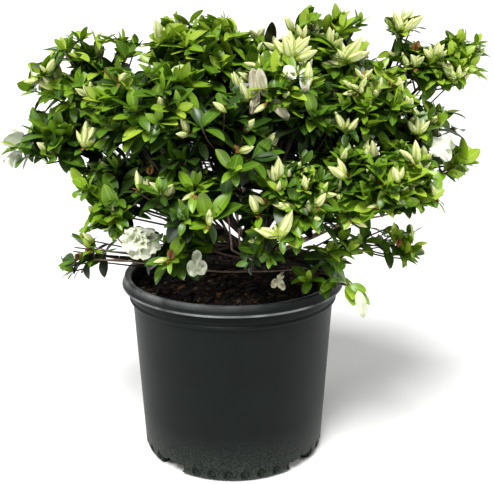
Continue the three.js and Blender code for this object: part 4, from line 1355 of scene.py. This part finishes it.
PETAL_COLOURS = {
    "flowers_white": ("#f4f6ea", "#dfe5cf"),
    "flowers_crumpled": ("#eef0de", "#bcc6a2"),
    "flowers_faded": ("#d3d0b6", "#968e6c"),
}
for kind, rows in petals.items():
    points, faces = [], []
    for row in rows:
        petal_points, petal_faces = petal(*row)
        faces += [[k + len(points) for k in face] for face in petal_faces]
        points += petal_points
    flowers = piece_from_arrays(
        kind, np.array(points) * MM, faces, petal_material(kind + "_petal", *PETAL_COLOURS[kind], 7)
    )
    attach(flowers, "root")

# ---- Floor and studio light ----
# A plain pale floor that slopes up far behind, a pale surround, a wide soft lamp high above the front, and
# a lamp at each side.
FLOOR_SIZE = 12
FLOOR_BEND = 2  # how far behind the pot it starts to rise
FLOOR_SLOPE = math.radians(20)
bpy.ops.mesh.primitive_plane_add(size=FLOOR_SIZE, location=(0, 0, 0))
floor = bpy.context.object
floor.name = "floor"
bpy.ops.object.mode_set(mode="EDIT")
select_points(floor, lambda vertex: vertex.co.y > 0)
bpy.ops.transform.translate(value=(0, FLOOR_BEND - FLOOR_SIZE / 2, 0))
rise = (0, FLOOR_SIZE * math.cos(FLOOR_SLOPE), FLOOR_SIZE * math.sin(FLOOR_SLOPE))
bpy.ops.mesh.extrude_region_move(TRANSFORM_OT_translate={"value": rise})
bpy.ops.object.mode_set(mode="OBJECT")
floor_paint, tree, shader = new_material("pale_floor")
shader.inputs["Base Color"].default_value = linear("#f7f7f5")
shader.inputs["Roughness"].default_value = 0.9
floor.data.materials.append(floor_paint)

SURROUND_LIGHT = 0.31
world = bpy.data.worlds.new("surround")
world.use_nodes = True
glow = world.node_tree.nodes["Background"].inputs
glow["Color"].default_value = linear("#ffffff")
glow["Strength"].default_value = SURROUND_LIGHT
bpy.context.scene.world = world
LIT_PLACE = Vector((0, 0, 0.3))
# Each lamp's kind, its place, its size (the sun's as an angle), and its power.
LAMPS = (
    ("lamp_above", "SUN", (-0.3, -0.95, 1.7), math.radians(24), 3.8),
    ("lamp_left", "AREA", (-1.7, -0.2, 0.8), 0.9, 10),
    ("lamp_right", "AREA", (1.7, -0.1, 0.8), 0.9, 10),
)
for name, kind, spot, size, power in LAMPS:
    lamp_data = bpy.data.lights.new(name, kind)
    if kind == "SUN":
        lamp_data.angle = size
    else:
        lamp_data.size = size
    lamp_data.energy = power
    lamp = bpy.data.objects.new(name, lamp_data)
    lamp.location = spot
    lamp.rotation_euler = (LIT_PLACE - Vector(spot)).to_track_quat("-Z", "Y").to_euler()
    bpy.context.scene.collection.objects.link(lamp)
bpy.context.scene.view_settings.view_transform = "Standard"
